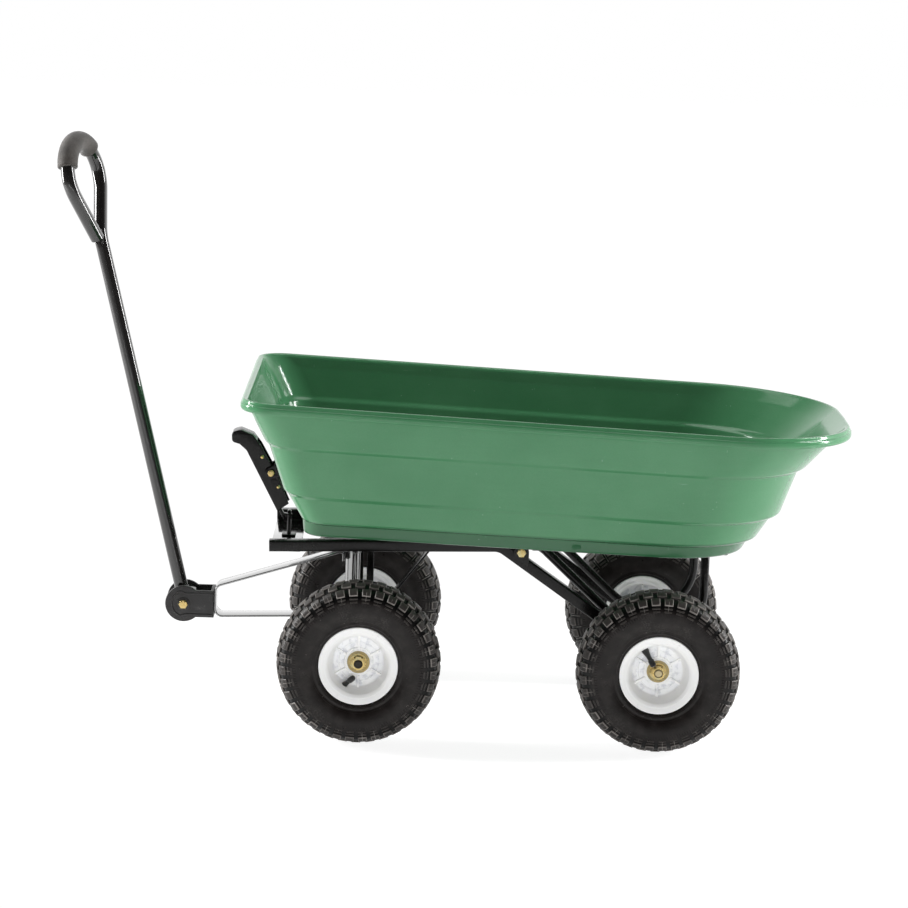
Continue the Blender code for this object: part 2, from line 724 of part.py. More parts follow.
def build_frame(shop, root):
    """Makes the rails, cross members, axle tube, rear axle, king bolt and latch striker."""
    lift = RAIL_HEIGHT / 2
    corners = [
        (RAIL_FRONT_X, rail_bottom(RAIL_FRONT_X) + lift, 0.0),
        (RAIL_BEND_X, rail_bottom(RAIL_BEND_X) + lift, RAIL_BEND_RADIUS),
        (REAR_AXLE_X, TYRE_RADIUS, 0.0),
    ]
    path = rounded_path(corners, step=12.0)
    end = (path[-1] - path[-2]).normalized()
    longer = [path[0] - (path[1] - path[0]).normalized() * 0.01, *path[1:-1], path[-1] + end * 0.01]
    rail = plate_mesh("frame_rail", strip_outline(path, RAIL_HEIGHT), RAIL_WIDTH)
    hollow = plate_mesh(
        "rail_hollow",
        strip_outline(longer, RAIL_HEIGHT - 2 * RAIL_WALL),
        RAIL_WIDTH - 2 * RAIL_WALL,
    )
    tab_top = arc(TAB_X, TAB_Z, TAB_RADIUS, 0.0, 180.0, 6)
    fall = end.y / end.x
    feet = [
        (x, TYRE_RADIUS + (x - REAR_AXLE_X) * fall - 0.001)
        for x in (TAB_X - TAB_RADIUS, TAB_X + TAB_RADIUS)
    ]
    tab_outline = [*tab_top, *feet]
    tab = plate_mesh("rail_tab", tab_outline, TAB_THICKNESS + 0.0005)
    saddle_radius = bore_for(AXLE_TUBE_RADIUS, GAP, ROUND_STEPS)
    saddle = rod_mesh("rail_saddle", saddle_radius, -0.05, 0.05, ROUND_STEPS)
    for side, name in ((-1.0, "left"), (1.0, "right")):
        y = side * RAIL_SPREAD
        obj = attach(shop.piece("frame_rail_" + name, rail.copy(), "frame"), root, (0, y, 0), STANDING)
        tab_y = side * (RAIL_SPREAD + RAIL_WIDTH / 2 + (TAB_THICKNESS - 0.0005) / 2)
        tool = attach(shop.tool("tab_tool_" + name, tab), root, (0, tab_y, 0), STANDING)
        combine(obj, tool, "UNION")
        tool = attach(shop.tool("hollow_tool_" + name, hollow), root, (0, y, 0), STANDING)
        combine(obj, tool, "DIFFERENCE")
        place = (REAR_AXLE_X, y, TYRE_RADIUS)
        tool = attach(shop.tool("saddle_tool_" + name, saddle), root, place, STANDING)
        combine(obj, tool, "DIFFERENCE")
        hole = rod_mesh("tab_hole_" + name, bore_for(PIVOT_BOLT_RADIUS), -0.03, 0.03)
        tool = attach(shop.tool("tab_hole_" + name, hole), root, (TAB_X, tab_y, TAB_Z), STANDING)
        combine(obj, tool, "DIFFERENCE")

    inner = RAIL_SPREAD - RAIL_WIDTH / 2 - GAP
    middle_bar = box_tube("middle_cross_bar", CROSS_BAR_SIZE, CROSS_BAR_SIZE, RAIL_WALL, inner)
    attach(shop.piece("middle_cross_bar", middle_bar, "frame"), root, (TAB_X, 0.0, TAB_Z))
    outside = RAIL_SPREAD + RAIL_WIDTH / 2 + TAB_THICKNESS + GAP
    reach = outside - inner + 0.008
    stations = bolt_stations(PIVOT_BOLT_RADIUS, PIVOT_HEAD_RADIUS, 0.0, reach)
    cross_bolt = stacked_mesh("cross_bar_bolt", stations)
    for side, name in ((-1.0, "left"), (1.0, "right")):
        bolt = shop.piece("cross_bar_bolt_" + name, cross_bolt, "zinc")
        turn = (radians(-90.0 * side), 0.0, 0.0)
        attach(bolt, root, (TAB_X, side * outside, TAB_Z), turn)

    plate_top = rail_bottom(STRIKER_X)
    half = inner
    low = (RAIL_FRONT_X, -half, plate_top - CROSS_PLATE_THICKNESS)
    high = (RAIL_FRONT_X + FRONT_BAR_LENGTH, half, plate_top)
    front_bar = box_mesh("front_cross_bar", low, high, 0.0006)
    attach(shop.piece("front_cross_bar", front_bar, "frame"), root)

    bolster_low = rail_bottom(KING_X)
    profile = [
        (-BOLSTER_LENGTH / 2, bolster_low + BOLSTER_HEIGHT * 0.5, 0.0),
        (-BOLSTER_LENGTH / 2, bolster_low + BOLSTER_WALL / 2, 0.003),
        (BOLSTER_LENGTH / 2, bolster_low + BOLSTER_WALL / 2, 0.003),
        (BOLSTER_LENGTH / 2, bolster_low + BOLSTER_HEIGHT * 0.5, 0.0),
    ]
    outline = strip_outline(rounded_path(profile, 45.0), BOLSTER_WALL)
    bolster = plate_mesh("steering_bolster", outline, 2 * inner)
    obj = attach(shop.piece("steering_bolster", bolster, "frame"), root, (KING_X, 0, 0), STANDING)
    hole = rod_mesh("bolster_hole", bore_for(KING_BOLT_RADIUS), -0.01, 0.01)
    place = (KING_X, 0.0, bolster_low + BOLSTER_WALL / 2)
    combine(obj, attach(shop.tool("bolster_hole", hole), root, place), "DIFFERENCE")

    half_tube = TRACK / 2 - HUB_INNER_LENGTH - RUNNING_GAP
    tube_profile = [
        (AXLE_TUBE_BORE, -half_tube),
        (AXLE_TUBE_BORE, half_tube),
        (AXLE_TUBE_RADIUS, half_tube),
        (AXLE_TUBE_RADIUS, -half_tube),
    ]
    tube = turned_mesh("rear_axle_tube", tube_profile, SHAFT_STEPS)
    place = (REAR_AXLE_X, 0.0, TYRE_RADIUS)
    attach(shop.piece("rear_axle_tube", tube, "frame"), root, place, STANDING)
    attach(shop.piece("rear_axle", axle_mesh("rear_axle"), "axle"), root, place, STANDING)

    build_striker(shop, root, plate_top)
    return bolster_low


def axle_mesh(name):
    """Returns an axle rod along Z, long enough for both hubs and their nuts."""
    reach = TRACK / 2 + HUB_OUTER_FACE + RUNNING_GAP + WASHER_THICKNESS + NUT_HEIGHT + 0.002
    profile = [
        (0.0, -reach),
        (AXLE_RADIUS - 0.0012, -reach),
        (AXLE_RADIUS, 0.0012 - reach),
        (AXLE_RADIUS, reach - 0.0012),
        (AXLE_RADIUS - 0.0012, reach),
        (0.0, reach),
    ]
    return turned_mesh(name, profile, SHAFT_STEPS)


def box_tube(name, width, height, wall, half_length):
    """Returns a rectangular tube along Y, open at both ends, centred on its axis."""
    w, h = width / 2, height / 2
    outer = [(-w, -h), (w, -h), (w, h), (-w, h)]
    inner = [(-w + wall, -h + wall), (w - wall, -h + wall), (w - wall, h - wall), (-w + wall, h - wall)]
    mesh = plate_mesh(name, outer, 2 * half_length, holes=(inner,))
    mesh.transform(Matrix.Rotation(radians(90.0), 4, "X"))
    return mesh


def build_striker(shop, root, plate_top):
    """Makes the staple on the front cross bar that the latch tongue hooks under."""
    base = plate_top + GAP
    top = STRIKER_TOP_Z
    spread = STRIKER_HALF_SPREAD
    foot = base + 0.0015
    corners = [(-spread, foot, 0.0), (-spread, top, 0.005), (spread, top, 0.005), (spread, foot, 0.0)]
    path = [(0.0, p.x, p.y) for p in rounded_path(corners, 30.0)]
    staple = tube_mesh("latch_striker", path, STRIKER_ROD)
    obj = attach(shop.piece("latch_striker", staple, "frame"), root, (STRIKER_X, 0.0, 0.0))
    plate = box_mesh("striker_plate", (-0.011, -0.017, base), (0.011, 0.017, base + 0.003))
    tool = attach(shop.tool("striker_plate", plate), root, (STRIKER_X, 0.0, 0.0))
    combine(obj, tool, "UNION")


def build_steering(shop, steer, root, bolster_low):
    """Makes the front axle group: axle, beam, king post, turntable, braces, loop and clevis."""
    place = (0.0, 0.0, FRONT_AXLE_Z)
    attach(shop.piece("front_axle", axle_mesh("front_axle"), "axle"), steer, place, STANDING)
    half_tube = TRACK / 2 - HUB_INNER_LENGTH - RUNNING_GAP
    height = AXLE_BEAM_BELOW + AXLE_BEAM_ABOVE
    beam = box_tube("front_axle_beam", AXLE_BEAM_WIDTH, height, AXLE_BEAM_WALL * 0.55, half_tube)
    beam_z = FRONT_AXLE_Z + (AXLE_BEAM_ABOVE - AXLE_BEAM_BELOW) / 2
    attach(shop.piece("front_axle_beam", beam, "frame"), steer, (0.0, 0.0, beam_z))

    beam_top = FRONT_AXLE_Z + AXLE_BEAM_ABOVE
    arm_low = beam_top + GAP
    post_low = arm_low + LOOP_STRIP + GAP
    table_top = bolster_low - RUNNING_GAP
    table_low = table_top - TURNTABLE_THICKNESS
    post_top = table_low - GAP
    nut_room = post_low + KING_NUT_HEIGHT + 0.010
    bore = bore_for(KING_BOLT_RADIUS, RUNNING_GAP, SHAFT_STEPS)
    recess = KING_POST_RADIUS - 0.0022
    profile = [
        (bore, post_top),
        (KING_COLLAR_RADIUS, post_top),
        (KING_COLLAR_RADIUS, post_top - KING_COLLAR_HEIGHT),
        (KING_POST_RADIUS, post_top - KING_COLLAR_HEIGHT),
        (KING_POST_RADIUS, post_low),
        (recess, post_low),
        (recess, nut_room),
        (bore, nut_room),
    ]
    post = turned_mesh("king_post", profile, SHAFT_STEPS)
    attach(shop.piece("king_post", post, "frame"), steer, (KING_X, 0.0, 0.0))

    head_seat = bolster_low + BOLSTER_WALL + GAP
    nut_top = nut_room - RUNNING_GAP
    bolt_end = nut_top - KING_NUT_HEIGHT
    stations = [
        (bolt_end, KING_BOLT_RADIUS - 0.001, False),
        (bolt_end + 0.001, KING_BOLT_RADIUS, False),
        (head_seat, KING_BOLT_RADIUS, False),
        (head_seat, 0.0135, True),
        (head_seat + 0.009, 0.0135, True),
    ]
    bolt = stacked_mesh("king_bolt", stations)
    attach(shop.piece("king_bolt", bolt, "zinc"), root, (KING_X, 0.0, 0.0))
    nut_profile = [
        (bore_for(KING_BOLT_RADIUS), nut_top),
        (recess * cos(pi / SHAFT_STEPS) - GAP, nut_top),
        (recess * cos(pi / SHAFT_STEPS) - GAP, bolt_end + 0.001),
        (bore_for(KING_BOLT_RADIUS), bolt_end + 0.001),
    ]
    king_nut = turned_mesh("king_nut", nut_profile, SMALL_STEPS)
    attach(shop.piece("king_nut", king_nut, "zinc"), root, (KING_X, 0.0, 0.0))

    half = TURNTABLE_WIDTH / 2
    front, rear = TURNTABLE_FRONT_X, TURNTABLE_REAR_X
    outline = rounded_loop(
        [(front, -half, 0.02), (rear, -BRACE_WIDTH / 2, 0.004), (rear, BRACE_WIDTH / 2, 0.004),
         (front, half, 0.02)]
    )
    holes = (
        circle(KING_X, 0.0, bore, SHAFT_STEPS),
        circle(brace_bolt_x(), 0.0, bore_for(TRAY_BOLT_RADIUS)),
    )
    table = plate_mesh("turntable_plate", outline, TURNTABLE_THICKNESS, holes)
    place = (0.0, 0.0, (table_top + table_low) / 2)
    attach(shop.piece("turntable_plate", table, "frame"), steer, place)

    stay_low = (STAY_X - STAY_WIDTH / 2, -STAY_DEPTH / 2, post_low)
    stay_high = (STAY_X + STAY_WIDTH / 2, STAY_DEPTH / 2, post_top)
    stay = box_mesh("king_post_stay", stay_low, stay_high, 0.001)
    stay_obj = attach(shop.piece("king_post_stay", stay, "frame"), steer)
    post_obj = bpy.data.objects["king_post"]
    face = STAY_X + STAY_WIDTH / 2
    bolt_z = post_top - KING_COLLAR_HEIGHT * 0.7
    room = STAY_X - STAY_WIDTH / 2 - (KING_X + KING_COLLAR_RADIUS)
    depth = STAY_WIDTH + room + 0.0065
    stations = [
        (-depth, STAY_BOLT_RADIUS, False),
        (-STAY_WIDTH - room + GAP, STAY_BOLT_RADIUS, False),
        (-STAY_WIDTH - room + GAP, 0.0062, True),
        (-STAY_WIDTH - 2 * GAP, 0.0062, True),
        (-STAY_WIDTH - 2 * GAP, STAY_BOLT_RADIUS, False),
        (0.0, STAY_BOLT_RADIUS, False),
        (0.0, 0.0062, True),
        (0.0035, 0.0062, True),
    ]
    lying = (0.0, radians(90.0), 0.0)
    bolt = shop.piece("stay_bolt", stacked_mesh("stay_bolt", stations), "zinc")
    attach(bolt, steer, (face + GAP, 0.0, bolt_z), lying)
    hole = rod_mesh("stay_hole", bore_for(STAY_BOLT_RADIUS), -depth - GAP, 0.010)
    tool = attach(shop.tool("stay_hole", hole), steer, (face + GAP, 0.0, bolt_z), lying)
    combine(stay_obj, tool, "DIFFERENCE")
    combine(post_obj, tool, "DIFFERENCE")

    return post_low, post_top, table_low, arm_low


def brace_bolt_x():
    """Returns where the small bolt stands that ties the brace to the turntable plate."""
    return TURNTABLE_REAR_X - 0.029


def rounded_loop(corners, step=30.0):
    """Returns a closed outline: corners are (x, y, radius)."""
    looped = [corners[-1], *corners, corners[0]]
    path = rounded_path(looped, step)
    return [tuple(p) for p in path[1:-1]]


def build_draw_gear(shop, steer, post_top, table_low, arm_low):
    """Makes the strip loop, the rear brace, the clevis and its pivot bolt."""
    half = LOOP_STRIP / 2
    post_front = KING_X - KING_COLLAR_RADIUS - GAP - half
    tail_x = AXLE_BEAM_WIDTH / 2 - half
    arm_z = arm_low + half
    corners = [
        (post_front, LOOP_UPPER_END_Z - 0.016, 0.0),
        (post_front, LOOP_UPPER_END_Z, 0.004),
        (LOOP_FRONT_X, LOOP_TOP_Z, LOOP_BEND),
        (LOOP_FRONT_X, LOOP_BOTTOM_Z, LOOP_BEND),
        (KING_X - KING_POST_RADIUS - 0.020, arm_z, 0.03),
        (tail_x, arm_z, 0.0),
    ]
    outline = strip_outline(rounded_path(corners), LOOP_STRIP)
    loop = plate_mesh("draw_loop", outline, LOOP_STRIP_WIDTH)
    attach(shop.piece("draw_loop", loop, "frame"), steer, (0.0, 0.0, 0.0), STANDING)

    beam_back = AXLE_BEAM_WIDTH / 2 + GAP + half
    brace_top = table_low - GAP - half
    corners = [
        (TURNTABLE_REAR_X - 0.042, brace_top, 0.0),
        (TURNTABLE_REAR_X + 0.003, brace_top, 0.004),
        (beam_back, FRONT_AXLE_Z + 0.020, 0.004),
        (beam_back, FRONT_AXLE_Z - 0.008, 0.0),
    ]
    outline = strip_outline(rounded_path(corners), LOOP_STRIP)
    brace = plate_mesh("steering_brace", outline, BRACE_WIDTH)
    attach(shop.piece("steering_brace", brace, "frame"), steer, (0.0, 0.0, 0.0), STANDING)

    bolt_x = brace_bolt_x()
    top = table_low + TURNTABLE_THICKNESS + GAP
    stack = TURNTABLE_THICKNESS + LOOP_STRIP + 3 * GAP
    stations = bolt_stations(TRAY_BOLT_RADIUS, 0.0072, 0.0, stack + 0.008, stack)
    bolt = shop.piece("brace_bolt", stacked_mesh("brace_bolt", stations), "zinc")
    attach(bolt, steer, (bolt_x, 0.0, top))
    hole = rod_mesh("brace_hole", bore_for(TRAY_BOLT_RADIUS), -0.012, 0.002)
    brace_obj = bpy.data.objects["steering_brace"]
    tool = attach(shop.tool("brace_hole", hole), steer, (bolt_x, 0.0, top))
    combine(brace_obj, tool, "DIFFERENCE")

    back = LOOP_FRONT_X - half - GAP
    neck = CLEVIS_NECK / 2
    meet = sqrt(CLEVIS_RADIUS ** 2 - neck ** 2)
    start = degrees(atan2(neck, meet))
    round_end = arc(PIVOT_X, PIVOT_Z, CLEVIS_RADIUS, start, 360.0 - start, 14)
    outline = [*round_end, (back, PIVOT_Z - neck), (back, PIVOT_Z + neck)]
    hole = circle(PIVOT_X, PIVOT_Z, bore_for(PIVOT_BOLT_RADIUS))
    outer = CLEVIS_INSIDE / 2 + CLEVIS_CHEEK
    solid = plate_mesh("clevis", outline, 2 * outer, (hole,))
    obj = attach(shop.piece("clevis", solid, "clevis"), steer, (0.0, 0.0, 0.0), STANDING)
    mouth_back = back - CLEVIS_CHEEK
    low = (PIVOT_X - 0.05, -CLEVIS_INSIDE / 2, PIVOT_Z - 0.05)
    high = (mouth_back, CLEVIS_INSIDE / 2, PIVOT_Z + 0.05)
    mouth = attach(shop.tool("clevis_mouth", box_mesh("clevis_mouth", low, high)), steer)
    combine(obj, mouth, "DIFFERENCE")
    rib_radius = CLEVIS_RADIUS - 0.004
    rib_start = 125.0
    ring = arc(PIVOT_X + 0.006, PIVOT_Z, rib_radius, rib_start, 360.0 - rib_start, 8)
    inner_ring = arc(PIVOT_X + 0.006, PIVOT_Z, rib_radius - 0.003, 360.0 - rib_start, rib_start, 8)
    rib = plate_mesh("clevis_rib", ring + inner_ring, 2 * (outer + CLEVIS_RIB))
    core_low = (PIVOT_X - 0.05, -outer + 0.0008, PIVOT_Z - 0.05)
    core_high = (PIVOT_X + 0.05, outer - 0.0008, PIVOT_Z + 0.05)
    ribs = attach(shop.tool("clevis_ribs", rib), steer, (0.0, 0.0, 0.0), STANDING)
    core = box_mesh("rib_core", core_low, core_high)
    combine(ribs, attach(shop.tool("clevis_rib_core", core), steer), "DIFFERENCE")
    combine(obj, ribs, "UNION")

    grip = 2 * outer + 2 * GAP
    stations = bolt_stations(PIVOT_BOLT_RADIUS, PIVOT_HEAD_RADIUS, 0.0, grip + 0.010, grip)
    bolt = stacked_mesh("handle_pivot_bolt", stations)
    place = (PIVOT_X, -outer - GAP, PIVOT_Z)
    attach(shop.piece("handle_pivot_bolt", bolt, "zinc"), steer, place, STANDING)


def loop_path():
    """Returns the handle tube's line in its own plane: (sideways, along) from the pivot."""
    wide = GRIP_LOOP_HALF_WIDTH
    top = GRIP_LOOP_TOP
    bend = wide * 0.98
    waist = GRIP_LOOP_START
    corners = [
        (0.0, HANDLE_HUB_RADIUS - 0.003, 0.0),
        (0.0, waist, 0.090),
        (wide, top - bend - 0.012, 0.060),
        (wide, top, bend),
        (-wide, top, bend),
        (-wide, top - bend - 0.012, 0.060),
        (-TUBE_RADIUS * 1.65, waist + 0.030, 0.0),
    ]
    return rounded_path(corners, 20.0)


def loop_forward(along):
    """Returns how far ahead of the tube's straight line the handle lies at a height along it."""
    share = (along - GRIP_LOOP_START + 0.045) / 0.160
    return -GRIP_LOOP_SET * min(max(share, 0.0), 1.0)


def build_handle(shop, pull):
    """Makes the handle tube with its closed loop, and the foam grip over the loop's top."""
    path = loop_path()
    lean = Matrix.Rotation(radians(-HANDLE_LEAN), 4, "Y")
    twist = Matrix.Rotation(radians(GRIP_LOOP_TWIST), 4, "Z")
    turn = (lean @ twist).to_euler()
    line = [(loop_forward(p.y), p.x, p.y) for p in path]
    tube = tube_mesh("handle_tube", line, TUBE_RADIUS)
    obj = shop.piece("handle_tube", tube, "tube")
    centre = (PIVOT_X, 0.0, PIVOT_Z)
    attach(obj, pull, centre, turn)
    end = path[-1]
    weld_profile = [(0.0, -0.020), (0.0095, -0.012), (0.0115, 0.0), (0.0095, 0.012), (0.0, 0.020)]
    weld = turned_mesh("loop_weld", weld_profile, SMALL_STEPS)
    bead = attach(shop.tool("loop_weld", weld), pull, centre)
    bead.parent = obj
    bead.location = (loop_forward(end.y), end.x * 0.50, end.y + 0.002)
    bead.rotation_euler = (radians(20.0), 0.0, 0.0)
    combine(obj, bead, "UNION")
    length = CLEVIS_INSIDE / 2 - GAP
    hub = rod_mesh("handle_hub", HANDLE_HUB_RADIUS, -length, length, SHAFT_STEPS)
    barrel = attach(shop.tool("handle_hub", hub), pull, centre, STANDING)
    combine(obj, barrel, "UNION")
    hole = rod_mesh("handle_hub_bore", bore_for(PIVOT_BOLT_RADIUS, RUNNING_GAP), -0.04, 0.04)
    bore = attach(shop.tool("handle_hub_bore", hole), pull, centre, STANDING)
    combine(obj, bore, "DIFFERENCE")

    middle = Vector((0.0, GRIP_LOOP_TOP - GRIP_LOOP_HALF_WIDTH * 0.98))
    sleeve = []
    steps = 10
    wide = GRIP_LOOP_HALF_WIDTH
    for i in range(steps + 1):
        spread = GRIP_NEAR_SPREAD + GRIP_FAR_SPREAD
        angle = radians(90.0 - GRIP_FAR_SPREAD + spread * i / steps)
        along = middle.y + wide * 0.98 * sin(angle)
        sleeve.append((loop_forward(along), wide * cos(angle), along))
    grip = tube_mesh("handle_grip", sleeve, GRIP_RADIUS)
    cover = attach(shop.piece("handle_grip", grip, "grip"), pull, centre, turn)
    inside = tube_mesh("grip_bore", line, TUBE_RADIUS + GAP)
    tool = attach(shop.tool("grip_bore", inside), pull, centre, turn)
    combine(cover, tool, "DIFFERENCE")


def tray_height(level, x):
    """Returns the height of one level of the tray at a place along it."""
    front, rear = TRAY_LEVELS[level][:2]
    share = (x - TRAY_FRONT_STATION) / (TRAY_REAR_STATION - TRAY_FRONT_STATION)
    return front + (rear - front) * share


def tray_ring(level, inset=0.0, drop=0.0):
    """Returns one level's outline as points in space, moved inwards and down by the given sizes."""
    front_x, reach, half, front_radius, rear_radius = TRAY_LEVELS[level][2:]
    front_x += inset
    rear_x = REAR_AXLE_X + reach - inset
    half -= inset
    front_radius = max(front_radius - inset, 0.01)
    rear_radius = max(rear_radius - inset, 0.01)
    quarter = arc(
        front_x + front_radius, half - front_radius, front_radius, 180.0, 90.0, FRONT_CORNER_STEPS
    )
    quarter += arc(rear_x - rear_radius, half - rear_radius, rear_radius, 90.0, 0.0, REAR_CORNER_STEPS)
    middle = (front_x + rear_x) / 2
    side = []
    for x, y in quarter:
        bow = TRAY_CROWN * (y / half) ** 2 if x > middle else 0.0
        side.append((x - bow, y))
    outline = [(front_x, 0.0), *side, (rear_x, 0.0)]
    outline += [(x, -y) for x, y in reversed(side)]
    return [(x, y, tray_height(level, x) - drop) for x, y in outline]


def tray_skin():
    """Returns the tray's inner face as an open surface, from the floor over the rim to the lip."""
    wall = TRAY_WALL
    fillet = TRAY_FLOOR_FILLET
    rim_wall = TRAY_LEVELS["rim"][4] - TRAY_LEVELS["wall_top"][4]
    rings = [
        tray_ring("bottom", wall + fillet, -wall),
        tray_ring("bottom", wall, -wall - fillet),
        tray_ring("skirt_low", wall),
        tray_ring("skirt_high", wall),
        tray_ring("step_low", wall),
        tray_ring("step_high", wall),
        tray_ring("band_low", wall),
        tray_ring("band_high", wall),
        tray_ring("wall_top", wall),
        tray_ring("rim", rim_wall + wall * 0.8 - 0.002, RIM_ROUND * 0.8),
        tray_ring("rim", rim_wall + wall * 0.8 - 0.006, 0.0),
        tray_ring("rim", RIM_ROUND, 0.0),
        tray_ring("rim", RIM_ROUND * 0.3, RIM_ROUND * 0.3),
        tray_ring("rim", 0.0, RIM_ROUND),
        tray_ring("rim", 0.0, RIM_LIP),
    ]
    bm = bmesh.new()
    loops = [[bm.verts.new(p) for p in ring] for ring in rings]
    count = len(loops[0])
    floor = bm.faces.new(loops[0][::-1])
    for lower, upper in zip(loops, loops[1:]):
        for i in range(count):
            j = (i + 1) % count
            bm.faces.new((lower[i], lower[j], upper[j], upper[i]))
    floor.normal_update()
    if floor.normal.z < 0:
        bmesh.ops.reverse_faces(bm, faces=bm.faces)
    bmesh.ops.triangulate(bm, faces=[f for f in bm.faces if len(f.verts) > 4])
    return finish_mesh(bm, "tray", tidy=False)


def tray_underside(x):
    """Returns the height of the tray's underside at a place along it."""
    return tray_height("bottom", x)


def strap_places():
    """Returns the middle of each strap under the tray: (name, x)."""
    rear = REAR_AXLE_X + LEG_BEND_RADIUS + LEG_RADIUS + 0.009
    return (("front", LEG_FRONT_X), ("rear", rear))


def build_tray(shop, tip):
    """Makes the tray, its straps and bolts, and the two legs that turn on the axle tube."""
    tray = attach(shop.piece("tray", tray_skin(), "tray"), tip)
    shade(tray.data, 22.0)
    solid = tray.modifiers.new("wall", "SOLIDIFY")
    solid.thickness = TRAY_WALL
    solid.offset = -1.0
    solid.use_even_offset = True
    solid.use_quality_normals = True

    fall = atan((tray_underside(0.1) - tray_underside(0.0)) / 0.1)
    for name, x in strap_places():
        top = tray_underside(x) - GAP
        half = STRAP_THICKNESS / 2
        width = STRAP_WIDTH / 2
        edge = 0.006
        outline = rounded_loop(
            [(-width, -STRAP_HALF_LENGTH, edge), (width, -STRAP_HALF_LENGTH, edge),
             (width, STRAP_HALF_LENGTH, edge), (-width, STRAP_HALF_LENGTH, edge)]
        )
        holes = [circle(0.0, side * TRAY_BOLT_SPREAD, bore_for(TRAY_BOLT_RADIUS)) for side in (-1, 1)]
        strap = plate_mesh("tray_strap_" + name, outline, STRAP_THICKNESS, holes)
        obj = shop.piece("tray_strap_" + name, strap, "frame")
        attach(obj, tip, (x, 0.0, top - half), (0.0, -fall, 0.0))
        stack = STRAP_THICKNESS + TRAY_WALL + 3 * GAP
        stations = [
            (-stack - 0.0090, TRAY_BOLT_RADIUS, False),
            (-stack - 0.0065, TRAY_BOLT_RADIUS, False),
            (-stack - 0.0065, 0.0075, True),
            (-stack, 0.0075, True),
            (-stack, TRAY_BOLT_RADIUS, False),
            (0.0, TRAY_BOLT_RADIUS, False),
            (0.0, 0.0100, False),
            (0.0034, 0.0060, False),
        ]
        for side, hand in ((-1.0, "left"), (1.0, "right")):
            y = side * TRAY_BOLT_SPREAD
            bolt = stacked_mesh("tray_bolt", stations)
            seat = (x, y, top + GAP + TRAY_WALL + GAP)
            attach(shop.piece(f"tray_bolt_{name}_{hand}", bolt, "zinc"), tip, seat, (0.0, -fall, 0.0))
            drill = rod_mesh("floor_hole", bore_for(TRAY_BOLT_RADIUS), -0.012, 0.008)
            tool = attach(shop.tool(f"floor_hole_{name}_{hand}", drill), tip, seat, (0.0, -fall, 0.0))
            combine(tray, tool, "DIFFERENCE")
    build_legs(shop, tip)
    return tray


def build_legs(shop, tip):
    """Makes the two bent legs, each with the lug that turns on the rear axle tube."""
    lug_outer = (AXLE_TUBE_RADIUS + RUNNING_GAP + LUG_WALL) / cos(pi / SHAFT_STEPS)
    low = TYRE_RADIUS + lug_outer + LEG_RADIUS - 0.0015
    rear_x = REAR_AXLE_X + LEG_BEND_RADIUS
    slope = tan(radians(LEG_SLOPE))
    centre = Vector((REAR_AXLE_X, low + LEG_BEND_RADIUS))
    tangent = centre + LEG_BEND_RADIUS * Vector((-sin(radians(LEG_SLOPE)), -cos(radians(LEG_SLOPE))))
    lower = STRAP_THICKNESS + 2 * GAP
    front_top = tray_underside(LEG_FRONT_X) - lower
    front_x = tangent.x - (front_top - LEG_RADIUS - tangent.y) / slope
    rear_top = tray_underside(rear_x) - lower - 0.0006
    bend = arc(centre.x, centre.y, LEG_BEND_RADIUS, -90.0 - LEG_SLOPE, 0.0, 8)
    foot = 0.014
    path = [
        (front_x - foot, front_top - LEG_RADIUS - 0.0009),
        (front_x, front_top - LEG_RADIUS - 0.0009),
        *bend,
        (rear_x, rear_top),
    ]
    bar = tube_mesh("tray_leg", [(x, 0.0, z) for x, z in path], LEG_RADIUS)
    ring = rod_mesh("leg_lug", lug_outer, -LUG_WIDTH / 2, LUG_WIDTH / 2, SHAFT_STEPS)
    lug_bore = bore_for(AXLE_TUBE_RADIUS, RUNNING_GAP, SHAFT_STEPS)
    bore = rod_mesh("lug_bore", lug_bore, -0.02, 0.02, SHAFT_STEPS)
    for side, name in ((-1.0, "left"), (1.0, "right")):
        y = side * LEG_SPREAD
        leg = attach(shop.piece("tray_leg_" + name, bar.copy(), "frame"), tip, (0.0, y, 0.0))
        place = (REAR_AXLE_X, y, TYRE_RADIUS)
        combine(leg, attach(shop.tool("lug_tool_" + name, ring), tip, place, STANDING), "UNION")
        combine(leg, attach(shop.tool("bore_tool_" + name, bore), tip, place, STANDING), "DIFFERENCE")


def wall_x(z):
    """Returns where the tray's front wall stands, outside, at a height in the middle."""
    names = ("skirt_low", "skirt_high", "step_low", "step_high", "band_low", "band_high", "wall_top")
    points = []
    for name in names:
        x = TRAY_LEVELS[name][2]
        points.append((tray_height(name, x), x))
    for (z0, x0), (z1, x1) in zip(points, points[1:]):
        if z <= z1:
            return x0 + (x1 - x0) * (z - z0) / (z1 - z0)
    return points[-1][1]


def latch_point(along, out):
    """Returns cart coordinates (x, z) of a point on the lever, from the latch pin."""
    tilt = radians(LATCH_TILT)
    x = LATCH_X - along * sin(tilt) - out * cos(tilt)
    z = LATCH_Z + along * cos(tilt) - out * sin(tilt)
    return x, z


